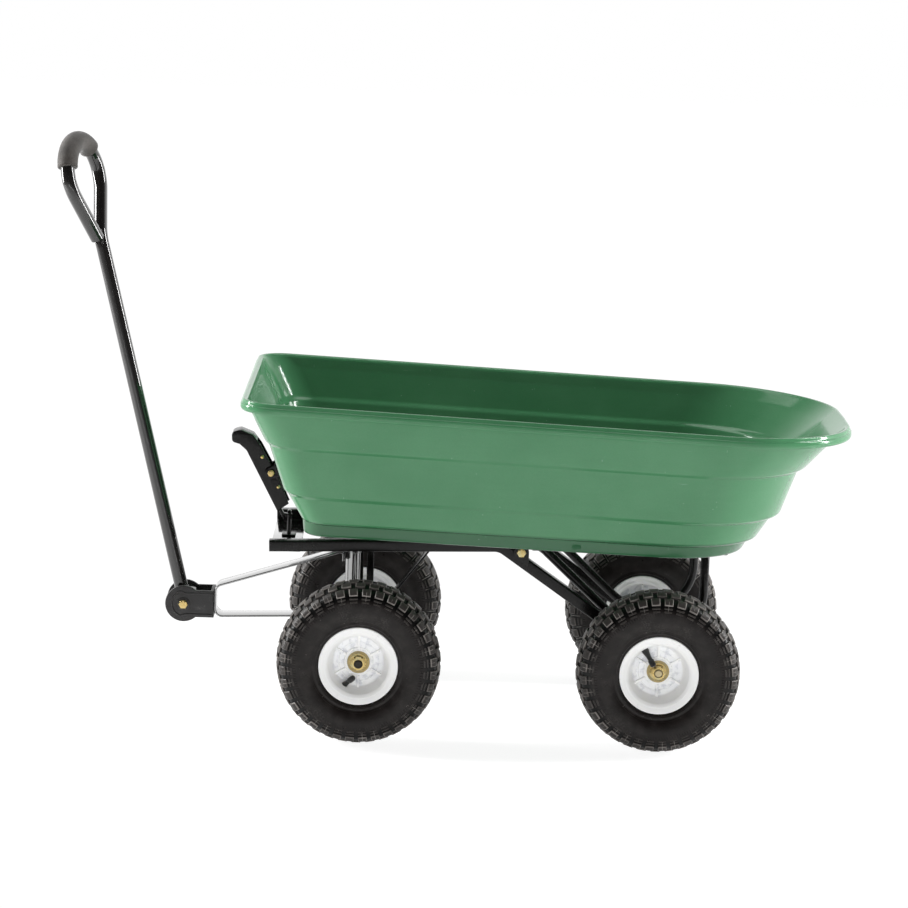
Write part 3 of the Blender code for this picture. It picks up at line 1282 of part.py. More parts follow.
def build_latch(shop, tip, release, tray):
    """Makes the latch bracket and pin on the tray, and the lever with its tongue and spring."""
    touch_z = tray_height("step_high", TRAY_LEVELS["step_high"][2])
    touch_x = TRAY_LEVELS["step_high"][2] - 0.0008
    upper_z = tray_height("wall_top", TRAY_LEVELS["wall_top"][2]) - 0.010
    upper_x = wall_x(upper_z) - 0.0042
    along = Vector((upper_x - touch_x, upper_z - touch_z)).normalized()
    out = Vector((-along.y, along.x))
    lower = Vector((touch_x, touch_z)) - along * 0.060
    upper = Vector((upper_x, upper_z))
    middle = (lower + upper) / 2 + out * BRACKET_THICKNESS / 2
    tilt = atan2(-along.x, along.y)
    length = (upper - lower).length
    outline = rounded_loop(
        [(-BRACKET_HALF_WIDTH, -length / 2, 0.008), (BRACKET_HALF_WIDTH, -length / 2, 0.008),
         (BRACKET_HALF_WIDTH, length / 2, 0.008), (-BRACKET_HALF_WIDTH, length / 2, 0.008)]
    )
    pin = Vector((LATCH_X, LATCH_Z))
    bolt_rise = 0.036
    pin_along = (pin - (lower + upper) / 2).dot(along)
    bolt_places = (("upper", pin_along + bolt_rise), ("lower", pin_along - bolt_rise * 0.72))
    holes = [circle(0.0, rise, bore_for(TRAY_BOLT_RADIUS)) for _, rise in bolt_places]
    plate = plate_mesh("latch_bracket", outline, BRACKET_THICKNESS, holes)
    frame = Matrix(((0.0, along.x, out.x), (-1.0, 0.0, 0.0), (0.0, along.y, out.y)))
    turn = frame.to_euler()
    obj = shop.piece("latch_bracket", plate, "frame")
    attach(obj, tip, (middle.x, 0.0, middle.y), turn)
    reach = (pin - middle).dot(out)
    for side, name in ((-1.0, "left"), (1.0, "right")):
        ear_round = arc(0.0, reach, EAR_RADIUS, 0.0, 180.0, 8)
        ear_outline = [*ear_round, (-EAR_RADIUS * 1.3, -0.0005), (EAR_RADIUS * 1.3, -0.0005)]
        ear = plate_mesh("latch_ear", ear_outline, EAR_THICKNESS)
        tool = shop.tool("latch_ear_" + name, ear)
        tool.parent = obj
        tool.location = (side * (LEVER_HALF_WIDTH + RUNNING_GAP + EAR_THICKNESS / 2), pin_along, 0.0)
        tool.rotation_euler = Matrix(((0, 0, 1), (1, 0, 0), (0, 1, 0))).to_euler()
        combine(obj, tool, "UNION")
    hole = rod_mesh("ear_bore", bore_for(PIN_RADIUS), -0.04, 0.04)
    tool = attach(shop.tool("ear_bore", hole), tip, (pin.x, 0.0, pin.y), STANDING)
    combine(obj, tool, "DIFFERENCE")

    span = 2 * (LEVER_HALF_WIDTH + RUNNING_GAP + EAR_THICKNESS + GAP)
    stations = bolt_stations(PIN_RADIUS, PIN_RADIUS * 1.9, 0.0, span + 0.008, span)
    pin_bolt = stacked_mesh("latch_pin", stations)
    place = (pin.x, -span / 2, pin.y)
    attach(shop.piece("latch_pin", pin_bolt, "zinc"), tip, place, STANDING)

    for name, rise in bolt_places:
        seat = middle + along * rise + out * (BRACKET_THICKNESS / 2 + GAP)
        depth = seat.x - wall_x(seat.y)
        through = abs(depth) * cos(tilt) + TRAY_WALL * 1.35 + 0.0022
        stations = [
            (-through - 0.0085, TRAY_BOLT_RADIUS, False),
            (-through - 0.0060, TRAY_BOLT_RADIUS, False),
            (-through - 0.0060, 0.0075, True),
            (-through, 0.0075, True),
            (-through, TRAY_BOLT_RADIUS, False),
            (0.0, TRAY_BOLT_RADIUS, False),
            (0.0, 0.0075, True),
            (0.0045, 0.0075, True),
        ]
        bolt = shop.piece(f"latch_bolt_{name}", stacked_mesh("latch_bolt", stations), "zinc")
        attach(bolt, tip, (seat.x, 0.0, seat.y), turn)
        drill = rod_mesh("wall_hole", bore_for(TRAY_BOLT_RADIUS), -0.030, 0.002)
        tool = attach(shop.tool("wall_hole_" + name, drill), tip, (seat.x, 0.0, seat.y), turn)
        combine(tray, tool, "DIFFERENCE")
    plate_face = reach - BRACKET_THICKNESS / 2
    skew = radians(LATCH_TILT) - tilt
    spring_reach = (plate_face + SPRING_ARM * sin(skew)) / cos(skew)
    spring = tube_mesh("latch_spring", spring_path(spring_reach), SPRING_WIRE, 1)
    attach(shop.piece("latch_spring", spring, "spring"), tip, (LATCH_X, 0.0, LATCH_Z))
    build_lever(shop, release)


def lever_inside(along):
    """Returns how far the inside of the lever's web stands off the pin's line."""
    low, high = LEVER_CHANNEL
    return LEVER_DEPTH - LEVER_WALL - LEVER_TAPER * (along - low) / (high - low)


def build_lever(shop, release):
    """Makes the latch lever, a folded channel with a thumb hook and a tongue."""
    depth = LEVER_DEPTH
    side_view = [
        (-0.084, depth, 0.002),
        (0.050, depth - LEVER_TAPER, 0.010),
        (0.064, depth + 0.002, 0.006),
        (0.073, depth + 0.011, 0.006),
        (0.087, depth + 0.004, 0.007),
        (0.084, depth - 0.010, 0.008),
        (0.067, -0.003, 0.006),
        (0.046, -0.006, 0.004),
        (-0.020, -0.006, 0.0),
        (-0.048, -0.001, 0.0),
        (-0.066, 0.000, 0.0),
        (-0.076, 0.003, 0.0),
    ]
    corners = [(*latch_point(a, b), r) for a, b, r in side_view]
    outline = rounded_loop(corners, 45.0)
    hole = circle(LATCH_X, LATCH_Z, bore_for(PIN_RADIUS))
    body = plate_mesh("latch_lever", outline, 2 * LEVER_HALF_WIDTH, (hole,))
    lever = attach(shop.piece("latch_lever", body, "frame"), release, (0.0, 0.0, 0.0), STANDING)
    room = LEVER_HALF_WIDTH - LEVER_WALL
    low, high = LEVER_CHANNEL
    cavity_view = [
        (low, lever_inside(low)),
        (high, lever_inside(high)),
        (high + 0.008, -0.020),
        (low, -0.020),
    ]
    cavity_outline = [latch_point(a, b) for a, b in cavity_view]
    cavity = plate_mesh("lever_channel", cavity_outline, 2 * room)
    tool = attach(shop.tool("lever_channel", cavity), release, (0.0, 0.0, 0.0), STANDING)
    combine(lever, tool, "DIFFERENCE")
    tongue_half = STRIKER_HALF_SPREAD - STRIKER_ROD - 0.0016
    striker_low = STRIKER_TOP_Z - STRIKER_ROD - 0.0008
    tongue_view = [
        (latch_point(-0.0835, depth - 0.001)),
        (latch_point(-0.0700, depth - 0.001)),
        (STRIKER_X - 0.001, striker_low),
        (STRIKER_X + 0.004, striker_low),
        (STRIKER_X + 0.003, striker_low - 0.006),
    ]
    tongue = plate_mesh("lever_tongue", tongue_view, 2 * tongue_half)
    tool = attach(shop.tool("lever_tongue", tongue), release, (0.0, 0.0, 0.0), STANDING)
    combine(lever, tool, "UNION")


def spring_path(plate_reach):
    """Returns the latch spring's line: an arm, the coils round the pin, and an arm.

    Both arms point up: the first bears on the lever's web and the last on the bracket's plate.
    """
    per_turn = 8
    count = SPRING_TURNS * per_turn + per_turn // 2
    half = SPRING_PITCH * count / per_turn / 2
    tilt = radians(LATCH_TILT)
    up = Vector((-sin(tilt), 0.0, cos(tilt)))
    out = Vector((-cos(tilt), 0.0, -sin(tilt)))
    coil = []
    for i in range(count + 1):
        angle = pi + tilt + 2 * pi * i / per_turn
        y = -half + 2 * half * i / count
        coil.append(Vector((SPRING_RADIUS * cos(angle), y, SPRING_RADIUS * sin(angle))))
    web_reach = lever_inside(SPRING_ARM) - SPRING_WIRE - GAP
    first = up * SPRING_ARM + out * web_reach
    first.y = -half
    last = up * SPRING_ARM - out * (plate_reach - SPRING_WIRE - GAP)
    last.y = half
    least = least_gap(coil, per_turn) - 2 * SPRING_WIRE
    print(f"latch spring: least gap between its turns {least * 1000:.2f} mm")
    return [first, *coil, last]


def least_gap(points, per_turn):
    """Returns the least distance between points that lie about a turn or more apart."""
    nearest = 1.0
    for i, point in enumerate(points):
        for other in points[i + per_turn - 2:]:
            nearest = min(nearest, (other - point).length)
    return nearest


def centre_cart(shop, root):
    """Moves the cart so that the origin lies under the middle of its outer box."""
    bpy.context.view_layer.update()
    graph = bpy.context.evaluated_depsgraph_get()
    low = Vector((1e9, 1e9, 1e9))
    high = -low
    for obj in shop.parts.objects:
        if obj.type != "MESH":
            continue
        solid = obj.evaluated_get(graph)
        for vertex in solid.data.vertices:
            place = solid.matrix_world @ vertex.co
            low = Vector(map(min, low, place))
            high = Vector(map(max, high, place))
    shift = (low.x + high.x) / 2
    root.location.x -= shift
    print(f"front axle at X {root.location.x:.5f}")
    print("outer box", [round(v, 5) for v in high - low])


def main():
    """Builds the whole cart."""
    clear_scene()
    shop = Workshop()
    root = pivot(shop, "cart", (0.0, 0.0, 0.0))
    steer = pivot(shop, "steering_axis", (KING_X, 0.0, 0.0), root)
    pull = pivot(shop, "handle_axis", (PIVOT_X, 0.0, PIVOT_Z), steer)
    tip = pivot(shop, "tipping_axis", (REAR_AXLE_X, 0.0, TYRE_RADIUS), root)
    release = pivot(shop, "latch_axis", (LATCH_X, 0.0, LATCH_Z), tip)
    build_wheels(shop, steer, root)
    bolster_low = build_frame(shop, root)
    _, post_top, table_low, arm_low = build_steering(shop, steer, root, bolster_low)
    build_draw_gear(shop, steer, post_top, table_low, arm_low)
    build_handle(shop, pull)
    tray = build_tray(shop, tip)
    build_latch(shop, tip, release, tray)
    centre_cart(shop, root)


main()
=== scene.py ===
"""Garden hand cart: the looks of its tray, running gear, steering, handle and latch.

Sizes are metres, +Z up and +X to the rear. Every class works in cart coordinates, whose origin is
the front axle's ground point, and Cart.piece moves the finished mesh to the frame's place.
"""

import json
import logging
import math
from collections.abc import Callable, Iterable, Sequence
from dataclasses import dataclass
from enum import Enum

import bmesh
import bpy
from mathutils import Matrix, Vector

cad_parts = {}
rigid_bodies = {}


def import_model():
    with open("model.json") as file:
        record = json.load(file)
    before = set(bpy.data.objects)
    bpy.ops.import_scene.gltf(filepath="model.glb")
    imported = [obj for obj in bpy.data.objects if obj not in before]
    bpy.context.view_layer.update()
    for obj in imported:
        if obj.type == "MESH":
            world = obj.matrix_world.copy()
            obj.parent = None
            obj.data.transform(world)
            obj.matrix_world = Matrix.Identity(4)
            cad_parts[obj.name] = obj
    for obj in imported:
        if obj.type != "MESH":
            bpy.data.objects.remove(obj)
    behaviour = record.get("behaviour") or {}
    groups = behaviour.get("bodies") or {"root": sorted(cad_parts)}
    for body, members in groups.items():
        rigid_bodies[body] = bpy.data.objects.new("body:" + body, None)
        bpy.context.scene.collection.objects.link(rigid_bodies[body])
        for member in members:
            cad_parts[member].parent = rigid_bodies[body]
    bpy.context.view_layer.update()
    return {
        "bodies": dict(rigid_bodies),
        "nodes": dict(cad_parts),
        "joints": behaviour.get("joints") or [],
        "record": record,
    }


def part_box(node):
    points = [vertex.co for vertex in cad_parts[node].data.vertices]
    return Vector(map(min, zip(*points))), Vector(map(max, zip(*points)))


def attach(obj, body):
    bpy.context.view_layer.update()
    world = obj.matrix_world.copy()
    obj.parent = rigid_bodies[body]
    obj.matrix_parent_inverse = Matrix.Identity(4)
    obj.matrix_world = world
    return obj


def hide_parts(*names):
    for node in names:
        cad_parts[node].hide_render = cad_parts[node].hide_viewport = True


LOG = logging.getLogger("hand_cart")
Mesh = bpy.types.Mesh
Socket = bpy.types.NodeSocket
Pair = tuple[float, float]
Sizes = tuple[float, ...]
Place = tuple[float, float, float]
Colour = tuple[float, float, float]
Profile = list[Pair]
Line = Sequence[Vector | Place]
Reach = Callable[[float, float, float], float]

TYRE_RADIUS = 0.128
WHEELBASE = 0.465
GAP = 0.0003
ALONG, ACROSS, UP = Vector((1, 0, 0)), Vector((0, 1, 0)), Vector((0, 0, 1))
STANDING = Matrix.Rotation(math.radians(90), 4, "X")
SIDES = ((-1, "left"), (1, "right"))
HUB_FRAME = "hub_frame"
LUG_EDGE_LIGHT = "lug_edge_light"


# Outlines and paths


def arc(x: float, y: float, radius: float, start: float, end: float, steps: int) -> Profile:
    """Points along an arc, from one end to the other."""
    angles = [math.radians(start + (end - start) * i / steps) for i in range(steps + 1)]
    return [(x + radius * math.cos(a), y + radius * math.sin(a)) for a in angles]


def circle(radius: float, steps: int = 24, x: float = 0.0, y: float = 0.0) -> Profile:
    """The outline of a circle."""
    return arc(x, y, radius, 0, 360, steps)[:-1]


def rounded(corners: Sequence[Sizes], step: float = 12.0, loop: bool = False) -> Profile:
    """A bent line with an arc at each corner.

    Args:
        corners: (x, y, bend radius) of each corner.
        step: The most degrees that one part of an arc turns.
        loop: True if the line closes on itself.

    Returns:
        The line's points.
    """
    ring = [corners[-1], *corners, corners[0]] if loop else list(corners)
    path: Profile = [] if loop else [tuple(ring[0][:2])]
    for before, corner, after in zip(ring, ring[1:], ring[2:]):
        place = Vector(corner[:2])
        back = (Vector(before[:2]) - place).normalized()
        ahead = (Vector(after[:2]) - place).normalized()
        half = back.angle(ahead) / 2
        if corner[2] == 0 or half > math.radians(89.5):
            path.append(tuple(place))
            continue
        centre = place + (back + ahead).normalized() * (corner[2] / math.sin(half))
        first = place + back * (corner[2] / math.tan(half)) - centre
        turn = math.pi - 2 * half
        side = 1 if back.x * ahead.y - back.y * ahead.x < 0 else -1
        count = max(2, round(math.degrees(turn) / step))
        path += [tuple(centre + Matrix.Rotation(side * turn * i / count, 2) @ first) for i in range(count + 1)]
    return path if loop else [*path, tuple(ring[-1][:2])]


def rectangle(width: float, height: float, edge: float, step: float = 22.5) -> Profile:
    """The outline of a rectangle with rounded corners, centred on zero."""
    w, h = width / 2, height / 2
    return rounded([(-w, -h, edge), (w, -h, edge), (w, h, edge), (-w, h, edge)], step, loop=True)


def in_side_view(points: Iterable[Pair], y: float = 0.0) -> list[Vector]:
    """Turns (x, z) points into points in space at one y."""
    return [Vector((x, y, z)) for x, z in points]


# Places and turns


def turned(degrees: float, axis: str = "X") -> Matrix:
    """A turn about an axis."""
    return Matrix.Rotation(math.radians(degrees), 4, axis)


def at(x: float, y: float, z: float, turn: Matrix | None = None) -> Matrix:
    """The matrix that turns a mesh and puts it at a place."""
    return Matrix.Translation((x, y, z)) @ (turn if turn is not None else Matrix.Identity(4))


def toward(direction: Vector) -> Matrix:
    """The turn that points +Z along a direction."""
    return direction.to_track_quat("Z", "Y").to_matrix().to_4x4()


# Meshes


def linked(name: str, data: bpy.types.ID) -> bpy.types.Object:
    """Makes an object of some data and puts it in the scene.

    Args:
        name: The object's name.
        data: Its mesh, curve, camera or light.

    Returns:
        The object.
    """
    obj = bpy.data.objects.new(name, data)
    bpy.context.scene.collection.objects.link(obj)
    return obj


def finish_mesh(bm: bmesh.types.BMesh, angle: float = 35.0) -> Mesh:
    """Turns a bmesh into a smooth-shaded mesh whose faces point outwards.

    Args:
        bm: The bmesh, which is freed.
        angle: Edges sharper than this many degrees stay sharp.

    Returns:
        The mesh.
    """
    bmesh.ops.recalc_face_normals(bm, faces=bm.faces)
    mesh = bpy.data.meshes.new("shape")
    bm.to_mesh(mesh)
    bm.free()
    mesh.shade_smooth()
    mesh.set_sharp_from_angle(angle=math.radians(angle))
    return mesh


def bridge(bm: bmesh.types.BMesh, rings: Sequence[list], closed: bool = False) -> None:
    """Joins rings of vertices with faces.

    Args:
        bm: The bmesh.
        rings: The rings in order; a ring of one vertex is a pole.
        closed: True if the last ring joins the first.
    """
    for lower, upper in zip(rings, [*rings[1:], rings[0]] if closed else rings[1:]):
        count = max(len(lower), len(upper))
        for i in range(count):
            j = (i + 1) % count
            if len(lower) == 1:
                bm.faces.new((lower[0], upper[j], upper[i]))
            elif len(upper) == 1:
                bm.faces.new((lower[i], lower[j], upper[0]))
            else:
                bm.faces.new((lower[i], lower[j], upper[j], upper[i]))


def lathe(
    profile: Profile, steps: int = 48, closed: bool = True, reach: Reach | None = None, angle: float = 35.0
) -> Mesh:
    """Turns a profile round Z.

    Args:
        profile: (radius, height) points; a radius of 0 is a pole.
        steps: How many parts go round.
        closed: True if the last point joins the first, as on a ring.
        reach: Gives a vertex's radius from (radius, height, angle), for shapes that aren't round.
        angle: Edges sharper than this many degrees stay sharp.

    Returns:
        The closed mesh.
    """
    bm = bmesh.new()
    rings = []
    for radius, height in profile:
        ring = []
        for i in range(steps if radius >= 1e-7 else 1):
            turn = 2 * math.pi * i / steps
            out = reach(radius, height, turn) if reach and radius >= 1e-7 else radius
            ring.append(bm.verts.new((out * math.cos(turn), out * math.sin(turn), height)))
        rings.append(ring)
    bridge(bm, rings, closed)
    return finish_mesh(bm, angle)


def sweep(
    path: Line, section: Profile, side: Vector, scales: Sequence[float] | None = None, angle: float = 35.0
) -> Mesh:
    """Draws a section along a path.

    Args:
        path: The points that the section's middle passes.
        section: The closed outline: (along side, along the other way across).
        side: The direction of the section's first axis at the path's start.
        scales: The section's scale at each point, 1 where it is left out.
        angle: Edges sharper than this many degrees stay sharp.

    Returns:
        The closed mesh, with flat ends.
    """
    bm = bmesh.new()
    rings = []
    path = [Vector(place) for place in path]
    across = side.normalized()
    for i, place in enumerate(path):
        along = (path[min(i + 1, len(path) - 1)] - path[max(i - 1, 0)]).normalized()
        across = (across - along * along.dot(across)).normalized()
        other = along.cross(across)
        size = scales[i] if scales else 1
        rings.append([bm.verts.new(place + (across * u + other * v) * size) for u, v in section])
    bridge(bm, rings)
    bm.faces.new(rings[0])
    bm.faces.new(rings[-1])
    return finish_mesh(bm, angle)


def rounded_ends(path: Sequence[Vector], radius: float, size: float) -> tuple[list[Vector], list[float]]:
    """Adds stations that round off both ends of a swept piece.

    Args:
        path: The piece's path.
        radius: How far the rounding runs along it.
        size: Half the section's width.

    Returns:
        The longer path and the section's scale at each of its points.
    """
    ends = []
    for first, second in ((path[0], path[1]), (path[-1], path[-2])):
        inward = (second - first).normalized()
        marks = [(first, 1 - radius / size), (first + inward * radius * 0.3, 1 - 0.29 * radius / size)]
        ends.append([*marks, (first + inward * radius, 1)])
    stations = [*ends[0], *((place, 1) for place in path[1:-1]), *reversed(ends[1])]
    return [place for place, _ in stations], [scale for _, scale in stations]


def evaluated(obj: bpy.types.Object, weld: float = 0.0, angle: float = 35.0) -> Mesh:
    """Takes the mesh that an object's modifiers or curve give, and removes the object.

    Args:
        obj: The object.
        weld: Points closer than this become one.
        angle: Edges sharper than this many degrees stay sharp.

    Returns:
        The plain mesh.
    """
    bpy.context.view_layer.update()
    graph = bpy.context.evaluated_depsgraph_get()
    mesh = bpy.data.meshes.new_from_object(obj.evaluated_get(graph))
    bpy.data.objects.remove(obj, do_unlink=True)
    if not weld:
        return mesh
    bm = bmesh.new()
    bm.from_mesh(mesh)
    bmesh.ops.remove_doubles(bm, verts=bm.verts, dist=weld)
    return finish_mesh(bm, angle)


def plate(
    outline: Profile, thickness: float, holes: Sequence[Profile] = (), edge: float = 0.0005, rows: int = 2
) -> Mesh:
    """A flat plate in XY about Z = 0, from a filled curve with rounded edges.

    Args:
        outline: The plate's outline.
        thickness: Its thickness.
        holes: The outlines of its holes.
        edge: The radius of its edges.
        rows: How many parts the rounding of an edge has.

    Returns:
        The closed mesh.
    """
    curve = bpy.data.curves.new("plate", "CURVE")
    curve.dimensions, curve.fill_mode = "2D", "BOTH"
    curve.extrude, curve.offset = thickness / 2 - edge, -edge
    curve.bevel_depth, curve.bevel_resolution = edge, rows - 1
    for loop in (outline, *holes):
        spline = curve.splines.new("POLY")
        spline.points.add(len(loop) - 1)
        spline.use_cyclic_u = True
        for point, (x, y) in zip(spline.points, loop):
            point.co = (x, y, 0, 1)
    return evaluated(linked("plate", curve), 0.000005)


def carve(mesh: Mesh, *tools: Mesh) -> Mesh:
    """Cuts shapes out of a mesh, one after the other.

    Args:
        mesh: The mesh to start from.
        tools: The shapes.

    Returns:
        The new mesh.
    """
    obj = linked("carved", mesh)
    others = [linked("tool", tool) for tool in tools]
    for other in others:
        modifier = obj.modifiers.new("cut", "BOOLEAN")
        modifier.operation, modifier.solver, modifier.object = "DIFFERENCE", "EXACT", other
    made = evaluated(obj, 0.000002)
    for other in others:
        bpy.data.objects.remove(other, do_unlink=True)
    return made


def block(low: Place, high: Place, edge: float) -> Mesh:
    """A box with rounded edges.

    Args:
        low, high: Its corners.
        edge: The radius of its edges.

    Returns:
        The closed mesh.
    """
    bm = bmesh.new()
    bmesh.ops.create_cube(bm, size=1)
    bmesh.ops.scale(bm, vec=Vector(high) - Vector(low), verts=bm.verts)
    bmesh.ops.translate(bm, vec=(Vector(high) + Vector(low)) / 2, verts=bm.verts)
    bmesh.ops.bevel(bm, geom=bm.edges[:], offset=edge, segments=3, profile=0.5, affect="EDGES")
    return finish_mesh(bm)


def joined(meshes: Iterable[Mesh]) -> Mesh:
    """Puts several meshes into one, with their shading kept.

    Args:
        meshes: The meshes.

    Returns:
        The new mesh.
    """
    bm = bmesh.new()
    for mesh in meshes:
        bm.from_mesh(mesh)
    made = bpy.data.meshes.new("joined")
    bm.to_mesh(made)
    bm.free()
    return made


def moved(mesh: Mesh, matrix: Matrix) -> Mesh:
    """Moves a mesh's points, and returns it."""
    mesh.transform(matrix)
    return mesh


def mark_hub_frame(mesh: Mesh) -> Mesh:
    """Stores each point's place from the wheel's centre, which its finish reads.

    Args:
        mesh: The mesh, in the wheel's own axes.

    Returns:
        The same mesh.
    """
    attribute = mesh.attributes.new(HUB_FRAME, "FLOAT_VECTOR", "POINT")
    attribute.data.foreach_set("vector", [value for vertex in mesh.vertices for value in vertex.co])
    return mesh


# Repeated shapes


def wired(tree: bpy.types.NodeTree, kind: str, inputs: dict, settings: dict) -> bpy.types.Node:
    """Adds a node to a tree.

    Args:
        tree: The tree.
        kind: The node's type.
        inputs: The value or the source socket of each input, by name or number.
        settings: The node's properties, set first.

    Returns:
        The node.
    """
    made = tree.nodes.new(kind)
    for key, value in settings.items():
        setattr(made, key, value)
    for key, value in inputs.items():
        feed(tree, made.inputs[key], value)
    return made


def feed(tree: bpy.types.NodeTree, socket: Socket, value: object) -> None:
    """Feeds an input.

    Args:
        tree: The tree.
        socket: The input.
        value: A source socket, or a constant; a colour has three parts.
    """
    if isinstance(value, Socket):
        tree.links.new(value, socket)
    else:
        socket.default_value = (*value, 1) if socket.type == "RGBA" else value


class GeometryTree:
    """A Geometry Nodes tree that is built here, with named inputs for its sizes."""

    def __init__(self, name: str, **sizes: str) -> None:
        """Starts the tree.

        Args:
            name: The tree's name.
            sizes: The kind of each named input.
        """
        self.tree = bpy.data.node_groups.new(name, "GeometryNodeTree")
        self.tree.is_modifier = True
        face = self.tree.interface
        face.new_socket("Geometry", in_out="OUTPUT", socket_type="NodeSocketGeometry")
        for label, kind in {"Geometry": "Geometry", **sizes, "Finish": "Material"}.items():
            face.new_socket(label, in_out="INPUT", socket_type="NodeSocket" + kind)
        self.start = self.tree.nodes.new("NodeGroupInput").outputs

    def node(self, kind: str, inputs: dict | None = None, **settings: object) -> Socket:
        """Adds a node with these inputs and settings, and gives its first output."""
        return wired(self.tree, kind, inputs or {}, settings).outputs[0]

    def end(self, points: Socket, shape: Socket, turn: Socket, more: dict | None = None, smooth: bool = False) -> None:
        """Closes the tree with Instance on Points, Realize Instances and Set Material.

        Args:
            points: The points.
            shape: What stands on each of them.
            turn: How it is turned.
            more: Further inputs.
            smooth: True if the shapes are smooth-shaded.
        """
        named = {"Points": points, "Instance": shape, "Rotation": turn, **(more or {})}
        real = self.node("GeometryNodeRealizeInstances", {0: self.node("GeometryNodeInstanceOnPoints", named)})
        if smooth:
            real = self.node("GeometryNodeSetShadeSmooth", {0: real})
        last = self.node("GeometryNodeSetMaterial", {"Geometry": real, "Material": self.start["Finish"]})
        wired(self.tree, "NodeGroupOutput", {0: last}, {})

    def run(self, source: Mesh, values: dict[str, object]) -> Mesh:
        """Runs the tree on a mesh.

        Args:
            source: The mesh that goes in.
            values: The values of the named inputs.

        Returns:
            The plain mesh that comes out.
        """
        obj = linked("source", source)
        modifier = obj.modifiers.new("tree", "NODES")
        modifier.node_group = self.tree
        for item in self.tree.interface.items_tree:
            if item.in_out == "INPUT" and item.name in values:
                modifier[item.identifier] = values[item.name]
        return evaluated(obj)


class RingTree(GeometryTree):
    """Repeats a shape round Z."""

    def __init__(self) -> None:
        """Builds the tree: points at the centre, each turned by its share of a round."""
        super().__init__("ring_of_shapes", Count="Int", Phase="Float")
        count = self.start["Count"]
        turn = self.node("GeometryNodeInputIndex")
        for operation, other in (("ADD", self.start["Phase"]), ("DIVIDE", count), ("MULTIPLY", 2 * math.pi)):
            turn = self.node("ShaderNodeMath", {0: turn, 1: other}, operation=operation)
        euler = self.node("ShaderNodeCombineXYZ", {"Z": turn})
        points = self.node("GeometryNodePoints", {"Count": count})
        self.end(points, self.start[0], self.node("FunctionNodeEulerToRotation", {0: euler}))

    def repeat(self, shape: Mesh, count: int, phase: float = 0.0) -> Mesh:
        """Repeats a shape count times; phase turns the ring, in shares of the pitch."""
        return self.run(shape, {"Count": count, "Phase": phase})


class SeatTree(GeometryTree):
    """Sets one fastener on each of several seats."""

    def __init__(self) -> None:
        """Builds the tree: each vertex is a seat, and its turn attribute says how it points."""
        super().__init__("fasteners_on_seats", Fastener="Object")
        info = wired(self.tree, "GeometryNodeObjectInfo", {"Object": self.start["Fastener"]}, {})
        turn = self.node("GeometryNodeInputNamedAttribute", {"Name": "turn"}, data_type="FLOAT_VECTOR")
        self.end(self.start[0], info.outputs["Geometry"], self.node("FunctionNodeEulerToRotation", {0: turn}))

    def set_on(self, fastener: Mesh, seats: Sequence[Matrix]) -> Mesh:
        """Sets a fastener on its seats.

        Args:
            fastener: The fastener, along Z with its seat at zero.
            seats: The place and turn of each seat.

        Returns:
            One mesh with a fastener on each seat.
        """
        points = bpy.data.meshes.new("seats")
        points.from_pydata([seat.translation for seat in seats], [], [])
        turns = points.attributes.new("turn", "FLOAT_VECTOR", "POINT")
        turns.data.foreach_set("vector", [v for seat in seats for v in seat.to_euler()])
        shape = linked("fastener", fastener)
        made = self.run(points, {"Fastener": shape})
        bpy.data.objects.remove(shape, do_unlink=True)
        made.set_sharp_from_angle(angle=math.radians(32))
        return made


class WeldTree(GeometryTree):
    """Lays a weld's scales along a line."""

    def __init__(self) -> None:
        """Builds the tree: the line is cut into even steps, and a flat scale leans on each."""
        super().__init__("weld_scales", Spacing="Float", Radius="Float", Seed="Int")
        line = self.node("GeometryNodeMeshToCurve", {"Mesh": self.start[0]})
        spaced = {"Curve": line, "Length": self.start["Spacing"]}
        points = self.node("GeometryNodeResampleCurve", spaced, mode="LENGTH")
        ball = self.node("GeometryNodeMeshUVSphere", {"Segments": 8, "Rings": 5, "Radius": self.start["Radius"]})
        tangent = self.node("GeometryNodeInputTangent")
        aligned = self.node("FunctionNodeAlignRotationToVector", {"Vector": tangent}, axis="Z")
        spread = {0: (0.88, 0.92, 0.62), 1: (1.08, 1.06, 0.86), "Seed": self.start["Seed"]}
        sizes = self.node("FunctionNodeRandomValue", spread, data_type="FLOAT_VECTOR")
        self.end(points, ball, aligned, {"Scale": sizes}, smooth=True)

    def along(self, lines: Sequence[Line], radius: float) -> Mesh:
        """Lays welds along lines.

        Args:
            lines: The points of each weld's line.
            radius: The bead's radius.

        Returns:
            One mesh with the scales of every weld.
        """
        points, edges = [], []
        for line in lines:
            first = len(points)
            points += [tuple(p) for p in line]
            edges += [(first + i, first + i + 1) for i in range(len(line) - 1)]
        source = bpy.data.meshes.new("lines")
        source.from_pydata(points, edges, [])
        return self.run(source, {"Spacing": radius * 0.8, "Radius": radius, "Seed": 11})


# Finishes


